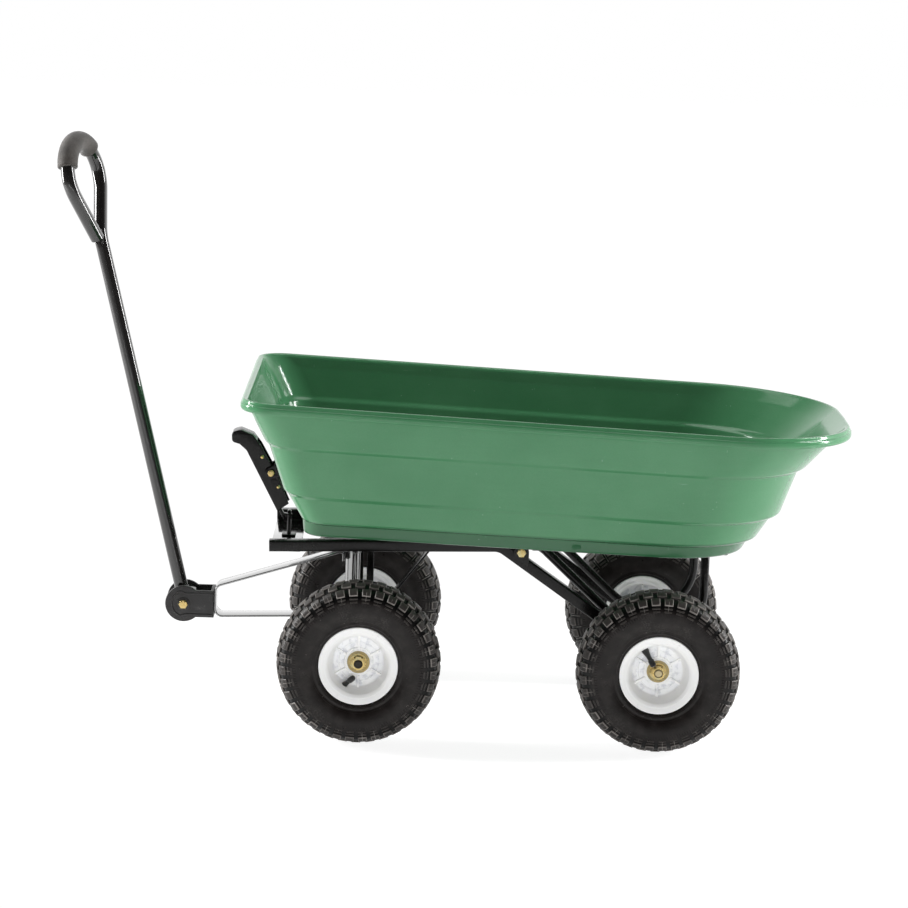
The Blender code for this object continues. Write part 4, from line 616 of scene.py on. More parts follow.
class Value:
    """A socket in a material, with the arithmetic that adds its Math nodes."""

    def __init__(self, graph: "Graph", socket: Socket) -> None:
        """Wraps a socket of a graph."""
        self.graph, self.socket = graph, socket

    def math(self, operation: str, *others: "Value | float") -> "Value":
        """Adds a Math node whose first input is this value."""
        return self.graph.node("ShaderNodeMath", dict(enumerate((self, *others))), operation=operation)

    def __add__(self, other: "Value | float") -> "Value":
        """This value plus another."""
        return self.math("ADD", other)

    def __sub__(self, other: "Value | float") -> "Value":
        """This value less another."""
        return self.math("SUBTRACT", other)

    def __rsub__(self, other: float) -> "Value":
        """A number less this value."""
        return self.graph.node("ShaderNodeMath", {0: other, 1: self}, operation="SUBTRACT")

    def __mul__(self, other: "Value | float") -> "Value":
        """This value times another."""
        return self.math("MULTIPLY", other)

    def __pow__(self, other: float) -> "Value":
        """This value to a power."""
        return self.math("POWER", other)

    __radd__, __rmul__ = __add__, __mul__

    def ramp(self, low: float, high: float) -> "Value":
        """0 below low, 1 above high, and smooth between them."""
        return self.graph.node("ShaderNodeMapRange", {0: self, 1: low, 2: high}, interpolation_type="SMOOTHSTEP")

    def band(self, low: float, high: float, soft: float) -> "Value":
        """1 between low and high and 0 outside, with soft sides."""
        return self.ramp(low - soft, low + soft) * (1 - self.ramp(high - soft, high + soft))

    def capped(self) -> "Value":
        """This value, 1 at the most."""
        return self.math("MINIMUM", 1)


class Graph:
    """The nodes of one material, or of the world."""

    def __init__(self, owner: bpy.types.Material | bpy.types.World) -> None:
        """Turns on the owner's nodes."""
        owner.use_nodes = True
        self.owner, self.tree = owner, owner.node_tree

    def node(self, kind: str, inputs: dict | None = None, output: int | str = 0, **settings: object) -> Value:
        """Adds a node.

        Args:
            kind: The node's type.
            inputs: The value or constant of each input, by name or number.
            output: Which output is wanted.
            settings: Its properties, set first.

        Returns:
            That output.
        """
        sources = {key: getattr(value, "socket", value) for key, value in (inputs or {}).items()}
        return Value(self, wired(self.tree, kind, sources, settings).outputs[output])

    def place(self) -> Value:
        """Object coordinates."""
        return self.node("ShaderNodeTexCoord", output="Object")

    def stored(self, name: str, output: str) -> Value:
        """An attribute that is stored on the mesh."""
        return self.node("ShaderNodeAttribute", output=output, attribute_name=name, attribute_type="GEOMETRY")

    def split(self, where: Value) -> list[Value]:
        """The three parts of a vector."""
        parts = self.node("ShaderNodeSeparateXYZ", {0: where}).socket.node
        return [Value(self, part) for part in parts.outputs]

    def rays(self) -> list[Value]:
        """Whether a ray comes from the camera, through glass or off gloss."""
        kinds = ("Camera", "Transmission", "Glossy")
        return [self.node("ShaderNodeLightPath", output=f"Is {kind} Ray") for kind in kinds]

    def stretched(self, where: Value, scale: Sizes) -> Value:
        """Coordinates stretched along each axis."""
        return self.node("ShaderNodeMapping", {"Vector": where, "Scale": scale})

    def noise(self, where: Value, scale: float, detail: float = 3.0, roughness: float = 0.5) -> Value:
        """Noise from 0 to 1."""
        inputs = {"Vector": where, "Scale": scale, "Detail": detail, "Roughness": roughness}
        return self.node("ShaderNodeTexNoise", inputs)

    def cells(self, where: Value, scale: float) -> Value:
        """The distance within cells of that scale."""
        return self.node("ShaderNodeTexVoronoi", {"Vector": where, "Scale": scale}, "Distance")

    def blend(self, share: Value | float, first: Value | Colour, second: Value | Colour) -> Value:
        """Mixes two colours."""
        return self.node("ShaderNodeMix", {0: share, 6: first, 7: second}, 2, data_type="RGBA")

    def bump(self, height: Value, strength: float, distance: float, under: Value | None = None) -> Value:
        """A bumped normal; under is the normal that it adds to."""
        inputs = {"Height": height, "Strength": strength, "Distance": distance}
        return self.node("ShaderNodeBump", inputs | ({"Normal": under} if under else {}))

    def finish(self, colour: Value, roughness: Value, normal: Value, others: dict[str, object]) -> None:
        """Feeds the shader.

        Args:
            colour, roughness, normal: What varies over the surface.
            others: The shader's other inputs, by name.
        """
        inputs = {"Base Color": colour, "Roughness": roughness, "Normal": normal, **others}
        for name, value in inputs.items():
            feed(self.tree, self.tree.nodes["Principled BSDF"].inputs[name], getattr(value, "socket", value))


@dataclass(frozen=True)
class Surface:
    """A finish: its material's name, and the nodes that a kind of finish adds."""

    name: str

    def dress(self, g: Graph) -> None:
        """Adds the material's nodes."""
        raise NotImplementedError

    def material(self) -> bpy.types.Material:
        """The material, made the first time that it is asked for.

        Returns:
            The material.
        """
        made = bpy.data.materials.get(self.name)
        if not made:
            made = bpy.data.materials.new(self.name)
            self.dress(Graph(made))
        return made


@dataclass(frozen=True)
class MouldedPlastic(Surface):
    """The tray's green polyethylene: a soft sheen, faint flow marks, a few pale scuffs, and painted shade on the
    outside of its lowest band.
    """

    name: str = "tray_polyethylene"
    deep: Colour = (0.05, 0.19, 0.083)
    light: Colour = (0.07, 0.226, 0.106)
    scuff: Colour = (0.3, 0.5, 0.36)
    # painted shade colour for the outside of the lowest band
    under: Colour = (0.012, 0.05, 0.022)
    roughness: float = 0.11
    middle_x: float = 0.12
    skirt_top: float = 0.3345
    skirt_fall: float = -0.027

    def skirt_shade(self, g: Graph, where: Value) -> Value:
        """The outside of the tray's lowest band, which gets a painted shade.

        Args:
            g: The material's nodes.
            where: Object coordinates.

        Returns:
            1 there and 0 elsewhere.
        """
        x, y, z = g.split(where)
        face_x, face_y, _ = g.split(g.node("ShaderNodeNewGeometry", output="Normal"))
        out = face_x * (x - self.middle_x) + face_y * y
        above = z - (self.skirt_top + x * self.skirt_fall)
        return out.ramp(0, 0.05) * (1 - above.ramp(-0.003, 0.003))

    def dress(self, g: Graph) -> None:
        """Adds the material's nodes.

        Args:
            g: The material's graph.
        """
        where = g.place()
        cloud = g.noise(where, 7, 4)
        flow = g.noise(g.stretched(where, (3, 3, 22)), 6, 5, 0.6)
        grain = g.noise(where, 900, 2)
        tone = cloud * 0.62 + flow * 0.08 + grain * 0.3
        colour = g.blend(tone.ramp(0.32, 0.68), self.deep, self.light)
        # darken the outside of the lowest band with painted shade
        colour = g.blend(self.skirt_shade(g, where) * 0.62, colour, self.under)
        lines = g.noise(g.stretched(where, (260, 260, 14)), 1, 2).ramp(0.735, 0.775)
        streaks = g.noise(g.stretched(where, (16, 190, 240)), 1, 3).ramp(0.74, 0.78)
        worn = (lines + streaks) * g.noise(where, 15, 2).ramp(0.5, 0.62)
        specks = 1 - g.cells(where, 62).ramp(0.02, 0.05)
        few = g.noise(where, 31, 1).ramp(0.56, 0.6)
        marked = (worn * 0.3 + specks * few * 0.75).capped()
        colour = g.blend(marked, colour, self.scuff)
        rough = self.roughness + (cloud - 0.5) * 0.1 + grain * 0.05 + marked * 0.18
        peel = g.bump(g.noise(where, 420, 3, 0.55), 0.2, 0.0003)
        normal = g.bump(g.noise(where, 30, 2), 0.12, 0.0015, peel)
        g.finish(colour, rough, normal, {"IOR": 1.54})


@dataclass(frozen=True)
class Paint(Surface):
    """Black paint or powder on steel: how deep its orange peel is and how much dust lies on it."""

    dark: Colour = (0.0062, 0.0052, 0.005)
    dusty: Colour = (0.022, 0.021, 0.02)
    roughness: float = 0.3
    peel_depth: float = 0.00025
    coat: float = 0.0
    dust: float = 0.5
    index: float = 1.52

    def dress(self, g: Graph) -> None:
        """Adds the material's nodes.

        Args:
            g: The material's graph.
        """
        where = g.place()
        cloud = g.noise(where, 18, 5, 0.6)
        fine = g.noise(where, 260, 3)
        dusted = (cloud.ramp(0.5, 0.78) * fine.ramp(0.35, 0.75)) * self.dust
        scrape = g.noise(g.stretched(where, (30, 210, 30)), 1.5, 3).ramp(0.72, 0.8)
        colour = g.blend((dusted + scrape * 0.25).capped(), self.dark, self.dusty)
        rough = self.roughness + (cloud - 0.45) * 0.16 + dusted * 0.3 + scrape * 0.15
        peel = g.bump(g.noise(where, 620, 2), 0.22, self.peel_depth)
        normal = g.bump(g.noise(where, 75, 2), 0.08, 0.0006, peel)
        coat = {"Coat Weight": self.coat, "Coat Roughness": 0.06, "Coat IOR": self.index}
        g.finish(colour, rough, normal, {"IOR": self.index, **coat})


@dataclass(frozen=True)
class Casting(Surface):
    """The clevis's charcoal coat over a sand-cast face, rubbed grey in places."""

    name: str = "clevis_casting"
    dark: Colour = (0.023, 0.02, 0.019)
    cloudy: Colour = (0.034, 0.034, 0.036)
    rubbed: Colour = (0.098, 0.09, 0.085)
    roughness: float = 0.46

    def dress(self, g: Graph) -> None:
        """Adds the material's nodes.

        Args:
            g: The material's graph.
        """
        where = g.place()
        sand = g.noise(where, 430, 5, 0.65)
        cloud = g.noise(where, 46, 5, 0.65)
        rub = cloud.ramp(0.56, 0.7) * sand.ramp(0.42, 0.66)
        colour = g.blend(rub, g.blend(cloud, self.dark, self.cloudy), self.rubbed)
        rough = self.roughness + (sand - 0.5) * 0.25 - rub * 0.1
        normal = g.bump(g.cells(where, 190), 0.18, 0.0004, g.bump(sand, 0.35, 0.0005))
        g.finish(colour, rough, normal, {"IOR": 1.5})


@dataclass(frozen=True)
class SoftRubber(Surface):
    """The grip's cellular rubber: tiny open cells and a soft sheen."""

    name: str = "grip_rubber"
    dark: Colour = (0.015, 0.013, 0.012)
    pale: Colour = (0.078, 0.068, 0.06)
    roughness: float = 0.74

    def dress(self, g: Graph) -> None:
        """Adds the material's nodes.

        Args:
            g: The material's graph.
        """
        where = g.place()
        pores = g.cells(where, 1150)
        soft = g.noise(where, 60, 4)
        worn = g.noise(where, 24, 3).ramp(0.48, 0.7)
        colour = g.blend(pores.ramp(0.1, 0.75) * 0.5 + worn * 0.4, self.dark, self.pale)
        rough = self.roughness + (soft - 0.5) * 0.16 - worn * 0.08
        normal = g.bump(soft, 0.12, 0.0012, g.bump(pores, 0.45, 0.0004))
        g.finish(colour, rough, normal, {"Sheen Weight": 0.25, "Sheen Roughness": 0.45, "IOR": 1.45})


@dataclass(frozen=True)
class TyreRubber(Surface):
    """A tyre: a matte tread, mould lines and fine ribs on the side, specks of dust, painted shade in the grooves and
    painted highlights on the lugs' edges.
    """

    name: str = "tyre_rubber"
    dark: Colour = (0.0075, 0.0055, 0.005)
    worn: Colour = (0.03, 0.026, 0.024)
    # painted shade colour for the grooves between the lugs
    groove_shade: Colour = (0.002, 0.002, 0.002)
    face: Colour = (0.034, 0.03, 0.028)
    dust: Colour = (0.3, 0.28, 0.26)
    # painted highlight colour for the lugs' edges
    edge: Colour = (0.24, 0.22, 0.205)
    roughness: float = 0.36
    rib_band: Pair = (0.0965, 0.1005)
    ribs: int = 150
    flashes: int = 36

    def dress(self, g: Graph) -> None:
        """Adds the material's nodes.

        Args:
            g: The material's graph.
        """
        hub = g.stored(HUB_FRAME, "Vector")
        x, y, _ = g.split(hub)
        radius = (x * x + y * y) ** 0.5
        turn = y.math("ARCTAN2", x)
        mottle = g.noise(hub, 55, 5, 0.6)
        fine = g.noise(hub, 420, 3)
        crown = radius.ramp(0.116, 0.127)
        colour = g.blend(mottle.ramp(0.4, 0.75) * 0.45 + crown * 0.35, self.dark, self.worn)
        specks = 1 - g.cells(hub, 210).ramp(0.05, 0.14)
        few = g.noise(hub, 90, 2).ramp(0.6, 0.66)
        film = g.noise(hub, 21, 4, 0.6).ramp(0.52, 0.75) * fine.ramp(0.4, 0.7)
        colour = g.blend((specks * few * 0.9 + film * 0.1).capped(), colour, self.dust)
        # painted shade: everything outward of the sidewall goes near black, then the lugs get their own colour back
        colour = g.blend(radius.ramp(0.102, 0.11), colour, self.groove_shade)
        # the lugs' edge weights, which carry the painted highlight on their edges
        block_face = g.stored(LUG_EDGE_LIGHT, "Fac")
        colour = g.blend(block_face.ramp(0, 0.2), colour, self.face)
        patchy = 0.25 + g.noise(hub, 34, 3).ramp(0.4, 0.64) * 0.75
        # painted highlight along the lugs' top edges, in patches
        colour = g.blend(block_face.ramp(0.35, 1) * patchy, colour, self.edge)
        flash = (turn * self.flashes).math("COSINE").ramp(-0.99, -0.9985) * radius.band(0.1045, 0.119, 0.0008)
        colour = g.blend(flash * g.noise(hub, 26, 2).ramp(0.46, 0.56) * 0.8, colour, self.dust)
        ribs = (turn * self.ribs).math("SINE") * radius.band(*self.rib_band, 0.0004)
        rings = (radius * 2600).math("SINE") * radius.band(0.0715, 0.0745, 0.0005)
        mould = g.bump(ribs * 0.5 + rings * 0.35 + fine * 0.1, 0.55, 0.0006)
        side = radius.band(0.064, 0.104, 0.002)
        rough = self.roughness + (mottle - 0.5) * 0.22 + film * 0.25 + crown * 0.1 - side * 0.05
        g.finish(colour, rough, g.bump(fine, 0.28, 0.0004, mould), {"IOR": 1.5, "Specular IOR Level": 0.3})


@dataclass(frozen=True)
class Nylon(Surface):
    """The wheel's white nylon: whiter on its cone, and a cooler, slightly greyer tint on its thin web."""

    name: str = "rim_nylon"
    white: Colour = (0.88, 0.88, 0.875)
    thin: Colour = (0.84, 0.85, 0.87)
    smudge: Colour = (0.62, 0.63, 0.67)
    grime: Colour = (0.46, 0.45, 0.42)
    roughness: float = 0.34
    web: Pair = (0.0235, 0.0395)

    def dress(self, g: Graph) -> None:
        """Adds the material's nodes.

        Args:
            g: The material's graph.
        """
        hub = g.stored(HUB_FRAME, "Vector")
        x, y, z = g.split(hub)
        radius = (x * x + y * y) ** 0.5
        cloud = g.noise(hub, 48, 4, 0.55)
        web = radius.band(*self.web, 0.0015) * (1 - z.ramp(0.0028, 0.0042))
        colour = g.blend(web * (0.45 + cloud.ramp(0.35, 0.62) * 0.55), self.white, self.thin)
        smudged = radius.band(0.02, 0.04, 0.004) * g.noise(hub, 110, 3, 0.6).ramp(0.5, 0.66)
        colour = g.blend(smudged * 0.8, colour, self.smudge)
        streak = g.noise(g.stretched(hub, (90, 90, 260)), 1, 4)
        dirt = streak.ramp(0.62, 0.74) * g.noise(hub, 30, 2).ramp(0.48, 0.62)
        colour = g.blend(dirt * 0.22, colour, self.grime)
        rough = self.roughness + (cloud - 0.5) * 0.14 + dirt * 0.2
        depth = {"IOR": 1.53, "Subsurface Weight": 0.12, "Subsurface Radius": (0.004, 0.004, 0.005)}
        g.finish(colour, rough, g.bump(g.noise(hub, 520, 2), 0.1, 0.0002), depth)


@dataclass(frozen=True)
class Plating(Surface):
    """A metal surface: plated, drawn or turned, with its tint shifting over it."""

    base: Colour
    shift: Colour
    shade: Colour
    roughness: float = 0.26
    metallic: float = 1.0
    spots: float = 0.3

    def dress(self, g: Graph) -> None:
        """Adds the material's nodes.

        Args:
            g: The material's graph.
        """
        where = g.place()
        tint = g.noise(where, 150, 3, 0.6)
        film = g.noise(where, 70, 2)
        fine = g.noise(where, 900, 3)
        spotted = g.noise(where, 330, 4, 0.7).ramp(0.6, 0.74) * self.spots
        colour = g.blend(film.ramp(0.42, 0.62), g.blend(tint.ramp(0.35, 0.65), self.base, self.shift), self.base)
        colour = g.blend(spotted, colour, self.shade)
        rough = self.roughness + (tint - 0.5) * 0.18 + spotted * 0.4 + fine * 0.06
        metal = {"IOR": 1.6, "Metallic": self.metallic - spotted * 0.5}
        g.finish(colour, rough, g.bump(fine, 0.16, 0.00015), metal)


@dataclass(frozen=True)
class PlainNylon(Surface):
    """The hub bush's grey nylon."""

    name: str = "bush_nylon"
    base: Colour = (0.34, 0.34, 0.33)
    worn: Colour = (0.24, 0.24, 0.235)
    roughness: float = 0.38

    def dress(self, g: Graph) -> None:
        """Adds the material's nodes.

        Args:
            g: The material's graph.
        """
        where = g.place()
        cloud = g.noise(where, 120, 4)
        colour = g.blend(cloud.ramp(0.35, 0.7), self.base, self.worn)
        normal = g.bump(g.noise(where, 700, 2), 0.15, 0.0002)
        g.finish(colour, self.roughness + cloud * 0.2, normal, {"IOR": 1.5})


class Finish(Enum):
    """Every finish on the cart: the record's slot and how it is made."""

    TRAY = ("tray", MouldedPlastic())
    FRAME = ("frame", Paint("frame_powder", (0.003, 0.0026, 0.0025), (0.012, 0.011, 0.01), 0.2, index=1.4))
    LOOP = ("frame", Paint("loop_gloss", roughness=0.12, peel_depth=0.00008, coat=1, dust=0.15, index=2.6))
    TUBE = ("handle_tube", Paint("handle_gloss", roughness=0.1, peel_depth=0.00003, coat=1, dust=0.08))
    CLEVIS = ("clevis", Casting())
    GRIP = ("grip", SoftRubber())
    TYRE = ("tyre", TyreRubber())
    VALVE = ("valve", SoftRubber("valve_rubber", (0.008, 0.008, 0.008), (0.02, 0.02, 0.02), 0.45))
    RIM = ("rim", Nylon())
    BUSH = ("bush", PlainNylon())
    ZINC = ("zinc", Plating("yellow_zinc", (0.74, 0.55, 0.22), (0.66, 0.6, 0.34), (0.2, 0.12, 0.04)))
    WASHER = ("zinc", Plating("dull_zinc", (0.46, 0.36, 0.17), (0.36, 0.31, 0.18), (0.16, 0.11, 0.05), 0.34))
    AXLE = ("axle", Plating("turned_steel", (0.03, 0.026, 0.02), (0.05, 0.04, 0.03), (0.02, 0.015, 0.01), 0.36, 0.6))
    SHAFT = ("axle", Plating("bright_steel", (0.6, 0.5, 0.3), (0.52, 0.47, 0.34), (0.2, 0.15, 0.08), 0.3))
    SPRING = ("spring", Plating("spring_wire", (0.74, 0.6, 0.32), (0.7, 0.66, 0.48), (0.2, 0.15, 0.08), 0.24))

    @property
    def slot(self) -> str:
        """The record's material slot."""
        return self.value[0]

    def material(self) -> bpy.types.Material:
        """The finish's material."""
        return self.value[1].material()


# The cart and its sub-assemblies


class Corner(Enum):
    """A wheel's corner: its name, place along the cart, side, carrier and its valve's angle, radius and twist."""

    FRONT_LEFT = ("front_left", 0, -1, "steering", 239, 0.052, -11)
    FRONT_RIGHT = ("front_right", 0, 1, "steering", 239, 0.052, -11)
    REAR_LEFT = ("rear_left", WHEELBASE, -1, "chassis", 123, 0.045, 0)
    REAR_RIGHT = ("rear_right", WHEELBASE, 1, "chassis", 123, 0.045, 0)


class Cart:
    """The whole cart: where its pieces go in the frame, and the trees that they share."""

    def __init__(self, frame: dict) -> None:
        """Reads the frame's place from the front axle.

        Args:
            frame: What the frame's loading gave.
        """
        self.frame = frame
        low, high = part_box("front_axle")
        self.shift = Matrix.Translation(((low.x + high.x) / 2, 0, 0))
        self.rings, self.seats, self.welds = RingTree(), SeatTree(), WeldTree()

    def piece(self, name: str, mesh: Mesh, finish: Finish, body: str, *nodes: str) -> None:
        """Adds a finished piece.

        Args:
            name: The piece's name.
            mesh: Its mesh, in cart coordinates.
            finish: What it is made of.
            body: The body that it rides on.
            nodes: The nodes that it stands for.
        """
        mesh.transform(self.shift)
        mesh.name = name
        mesh.materials.clear()
        mesh.materials.append(finish.material())
        mesh.polygons.foreach_set("material_index", [0] * len(mesh.polygons))
        obj = linked(name, mesh)
        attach(obj, body)
        finish.slot
        if nodes:
            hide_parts(*nodes)
        LOG.info("%s: %d faces on %s", name, len(mesh.polygons), body)

    def dress_frame_nodes(self) -> None:
        """Gives every node of the frame that is still shown its own finish."""
        slots = {part["node"]: part["material_slot"] for part in self.frame["record"]["subparts"]}
        by_slot = {finish.slot: finish for finish in reversed(Finish)}
        for name, obj in self.frame["nodes"].items():
            if obj.hide_render:
                continue
            finish = by_slot[slots[name]]
            for slot in obj.material_slots:
                slot.material = finish.material()
            if not obj.material_slots:
                obj.data.materials.append(finish.material())
            LOG.info("%s: frame node in %s", name, finish.name.lower())


@dataclass
class Assembly:
    """A sub-assembly: the cart that it belongs to and the body that its pieces ride on."""

    cart: Cart
    body: str = "chassis"

    def add(self, name: str, mesh: Mesh, finish: Finish, *nodes: str) -> None:
        """Adds a piece that stands for the nodes."""
        self.cart.piece(name, mesh, finish, self.body, *nodes)

    def fasten(self, name: str, fastener: Mesh, seats: Sequence[Matrix], *nodes: str) -> None:
        """Sets a zinc fastener on each seat, as one piece."""
        self.add(name, self.cart.seats.set_on(fastener, seats), Finish.ZINC, *nodes)

    def weld(self, name: str, lines: Sequence[Line], radius: float) -> None:
        """Lays a weld along each line, as one piece."""
        self.add(name, self.cart.welds.along(lines, radius), Finish.FRAME)


# Fasteners and wheels


@dataclass(frozen=True)
class Fastener:
    """A hexagon bolt along Z: its head stands on zero, and a nut may close the other end."""

    shank: float
    head: float
    grip: float
    washer: float = 0.0
    head_height: float = 0.0
    nut: bool = True
    tail: float = 0.004
    pitch: float = 0.001
    nut_height: float = 0.0

    def hex_mesh(self, low: float, high: float, bore: float = 0.0) -> Mesh:
        """A hexagon between two heights, with both its ends chamfered.

        Args:
            low, high: Its ends.
            bore: The radius of its hole, 0 where it has none.

        Returns:
            The mesh.
        """
        flat = self.head * math.cos(math.pi / 6)
        step = (self.head - flat) * 0.6

        def reach(radius: float, height: float, turn: float) -> float:
            """The hexagon's radius, and a chamfer's own where that is the smaller.

            Args:
                radius, height, turn: The vertex's place on the round profile.

            Returns:
                The vertex's radius.
            """
            if radius < flat * 0.96:
                return radius
            away = (turn + math.pi / 6) % (math.pi / 3) - math.pi / 6
            side = flat / math.cos(abs(away) - math.pi / 6)
            if height <= low or height >= high:
                return min(side, radius)
            return side if radius > self.head * 0.995 else radius

        profile = [(flat * 0.97, low), (self.head, low + step), (self.head, high - step), (flat * 0.97, high)]
        if bore:
            ring = [(bore, low), *profile, (bore + 0.0006, high), (bore, high - 0.0006)]
            return lathe(ring, 48, True, reach, 25)
        crown = [(flat * 0.55, high + 0.0002), (0, high + 0.0002)]
        return lathe([(0, low), *profile, *crown], 48, False, reach, 25)

    def build(self) -> Mesh:
        """Makes the fastener with its washer and the thread that shows past the nut.

        Returns:
            The mesh.
        """
        shapes = []
        seat = 0.0012 if self.washer else 0
        if self.washer:
            outline = [(self.shank, 0), (self.washer, 0), (self.washer, seat), (self.shank, seat)]
            shapes.append(lathe(outline, 40))
        shapes.append(self.hex_mesh(seat, self.head_height or self.shank * 1.3))
        z = -self.grip
        shank = [(0, seat), (self.shank, seat), (self.shank, z)]
        if self.nut:
            z -= self.nut_height or self.shank * 1.6
            shapes.append(self.hex_mesh(z, -self.grip, self.shank * 0.98))
        tip = z - self.tail
        while z - self.pitch > tip + 0.0006:
            shank += [(self.shank, z), (self.shank * 0.9, z - self.pitch / 2)]
            z -= self.pitch
        shank += [(self.shank, tip + 0.0006), (self.shank - 0.0008, tip), (0, tip)]
        shapes.append(lathe(shank, 24, closed=False))
        return joined(shapes)


@dataclass
class Tyre:
    """An air tyre: a rounded carcass with rows of lugs that run over its shoulders."""

    crown: float = 0.1244
    lugs: int = 36
    lug_height: float = 0.0036
    rows: tuple = (
        # start and end along the carcass, half width in pitches, height share, phase, parts
        (-0.008, 0.008, 0.36, 1.00, 0.5, 2),
        (0.0108, 0.0246, 0.36, 1.00, 0.00, 2),
        (0.0278, 0.042, 0.35, 0.72, 0.5, 4),
        (0.0444, 0.0474, 0.34, 0.36, 0.5, 1),
        (0.0496, 0.0524, 0.31, 0.32, 0.5, 1),
    )

    def half_outline(self) -> Profile:
        """The carcass's outside on the valve's side, from its crown to its bead.

        Returns:
            (radius, height) points.
        """
        corners = [(self.crown, 0, 0), (0.1236, 0.0124, 0.04), (0.1186, 0.0332, 0.014)]
        corners += [(0.1055, 0.042, 0.02), (0.0905, 0.0432, 0.04), (0.0765, 0.0404, 0.02)]
        corners += [(0.0702, 0.0366, 0.004), (0.0686, 0.0372, 0.0008), (0.0664, 0.037, 0.001)]
        corners += [(0.0652, 0.0352, 0.001), (0.063, 0.0342, 0.001), (0.0621, 0.032, 0)]
        return rounded(corners, 8)

    def surface(self, along: float) -> tuple[Vector, Vector]:
        """A point on the outside and the way out of it.

        Args:
            along: The distance from the crown, below 0 on the far side.

        Returns:
            (radius, height) and the outward direction, both as vectors.
        """
        outline = [Vector(p) for p in self.half_outline()]
        left = abs(along)
        for start, end in zip(outline, outline[1:]):
            length = (end - start).length
            if left <= length:
                break
            left -= length
        way = (end - start).normalized()
        place = start + way * left
        out = Vector((way.y, -way.x))
        if along < 0:
            place.y, out.y = -place.y, -out.y
        return place, out

    def lug(self, row: tuple, side: float) -> Mesh:
        """One lug in its place at angle 0.

        Args:
            row: The row's numbers.
            side: 1 on the valve's side and -1 on the other.

        Returns:
            The lug.
        """
        start, end, half_width, share, phase, parts = row
        pitch = 2 * math.pi / self.lugs
        height = self.lug_height * share
        bevel = min(0.001, height * 0.4)
        bm = bmesh.new()
        edge = bm.verts.layers.float.new(LUG_EDGE_LIGHT)
        rings = []
        # each step's third number is how much painted highlight its ring of the lug gets
        steps = [(-0.0012, 0, 0), (height - bevel, 0.0003, 0.7)]
        steps += [(height, 0.0003 + bevel, 1 if parts > 1 else 0.3), (height, 0.0013 + bevel, 0.25)]
        for level, inset, worn in steps[: 3 if height < 0.0015 else 4]:
            first, last = start + inset, end - inset
            half = pitch * half_width - inset / self.crown
            stations = [first + (last - first) * i / parts for i in range(parts + 1)]
            ring = []
            for along, turn in [(s, -half) for s in stations] + [(s, half) for s in reversed(stations)]:
                place, out = self.surface(along)
                place = place + out * level
                angle = turn + (phase + (0.5 if side < 0 else 0)) * pitch
                vertex = bm.verts.new((place.x * math.cos(angle), place.x * math.sin(angle), place.y * side))
                vertex[edge] = worn
                ring.append(vertex)
            rings.append(ring)
        bridge(bm, rings)
        top = rings[-1]
        for i in range(parts):
            bm.faces.new((top[i], top[i + 1], top[-2 - i], top[-1 - i]))
        bm.faces.new(rings[0])
        return finish_mesh(bm, 30)

    def build(self, rings: RingTree) -> Mesh:
        """Makes the tyre.

        Args:
            rings: The tree that repeats its lugs.

        Returns:
            The tyre, with its axle along Z.
        """
        inner = [(0.0512, 0.032), (0.0512, 0.0232), (0.09, 0.0368), (0.108, 0.03), (0.1162, 0)]
        half = self.half_outline() + inner
        shapes = [lathe(half + [(r, -z) for r, z in reversed(half[1:-1])], 160, angle=50)]
        for row in self.rows:
            for side in (1, -1) if row[0] > 0 else (1,):
                shapes.append(rings.repeat(self.lug(row, side), self.lugs))
        return mark_hub_frame(joined(shapes))


@dataclass
class Rim:
    """A moulded wheel: a dished cone and flange round a thin web with ribs and a hub."""

    bore: float = 0.0113
    ribs: int = 6

    def build(self, rings: RingTree) -> Mesh:
        """Makes the rim.

        Args:
            rings: The tree that repeats its ribs.

        Returns:
            The rim, with its axle along Z and its outer side up.
        """
        corners = [(self.bore, 0.006, 0.0004), (0.019, 0.006, 0.0006), (0.0196, 0.0048, 0.0005)]
        corners += [(0.0222, 0.0046, 0.0008), (0.023, 0.002, 0.001), (0.0302, 0.0019, 0.0006)]
        corners += [(0.0306, 0.0026, 0.0004), (0.0318, 0.0026, 0.0004), (0.0322, 0.0019, 0.0006)]
        corners += [(0.0397, 0.0022, 0.003), (0.0468, 0.0286, 0.003), (0.05, 0.0314, 0.0014)]
        flange = [(0.0605, 0.035, 0.0012), (0.0616, 0.0337, 0.0008), (0.0613, 0.0324, 0.0005), (0.0508, 0.0323, 0.0008)]
        corners += [*flange, (0.0506, 0, 0), *((r, -z, bend) for r, z, bend in reversed(flange))]
        corners += [(0.047, -0.0288, 0.003), (0.04, -0.0024, 0.004), (0.023, -0.003, 0.006)]
        corners += [(0.0165, -0.029, 0.001), (0.0155, -0.03, 0.0006), (self.bore, -0.03, 0.0004)]
        body = lathe(rounded(corners, 15, loop=True), 128, angle=40)
        front = block((0.0215, -0.0019, -0.0005), (0.0412, 0.0019, 0.0058), 0.0009)
        rear = block((0.0185, -0.0013, -0.02), (0.0425, 0.0013, -0.0012), 0.0006)
        shapes = [body, rings.repeat(front, self.ribs, 0.5), rings.repeat(rear, self.ribs, 0.5)]
        return mark_hub_frame(joined(shapes))


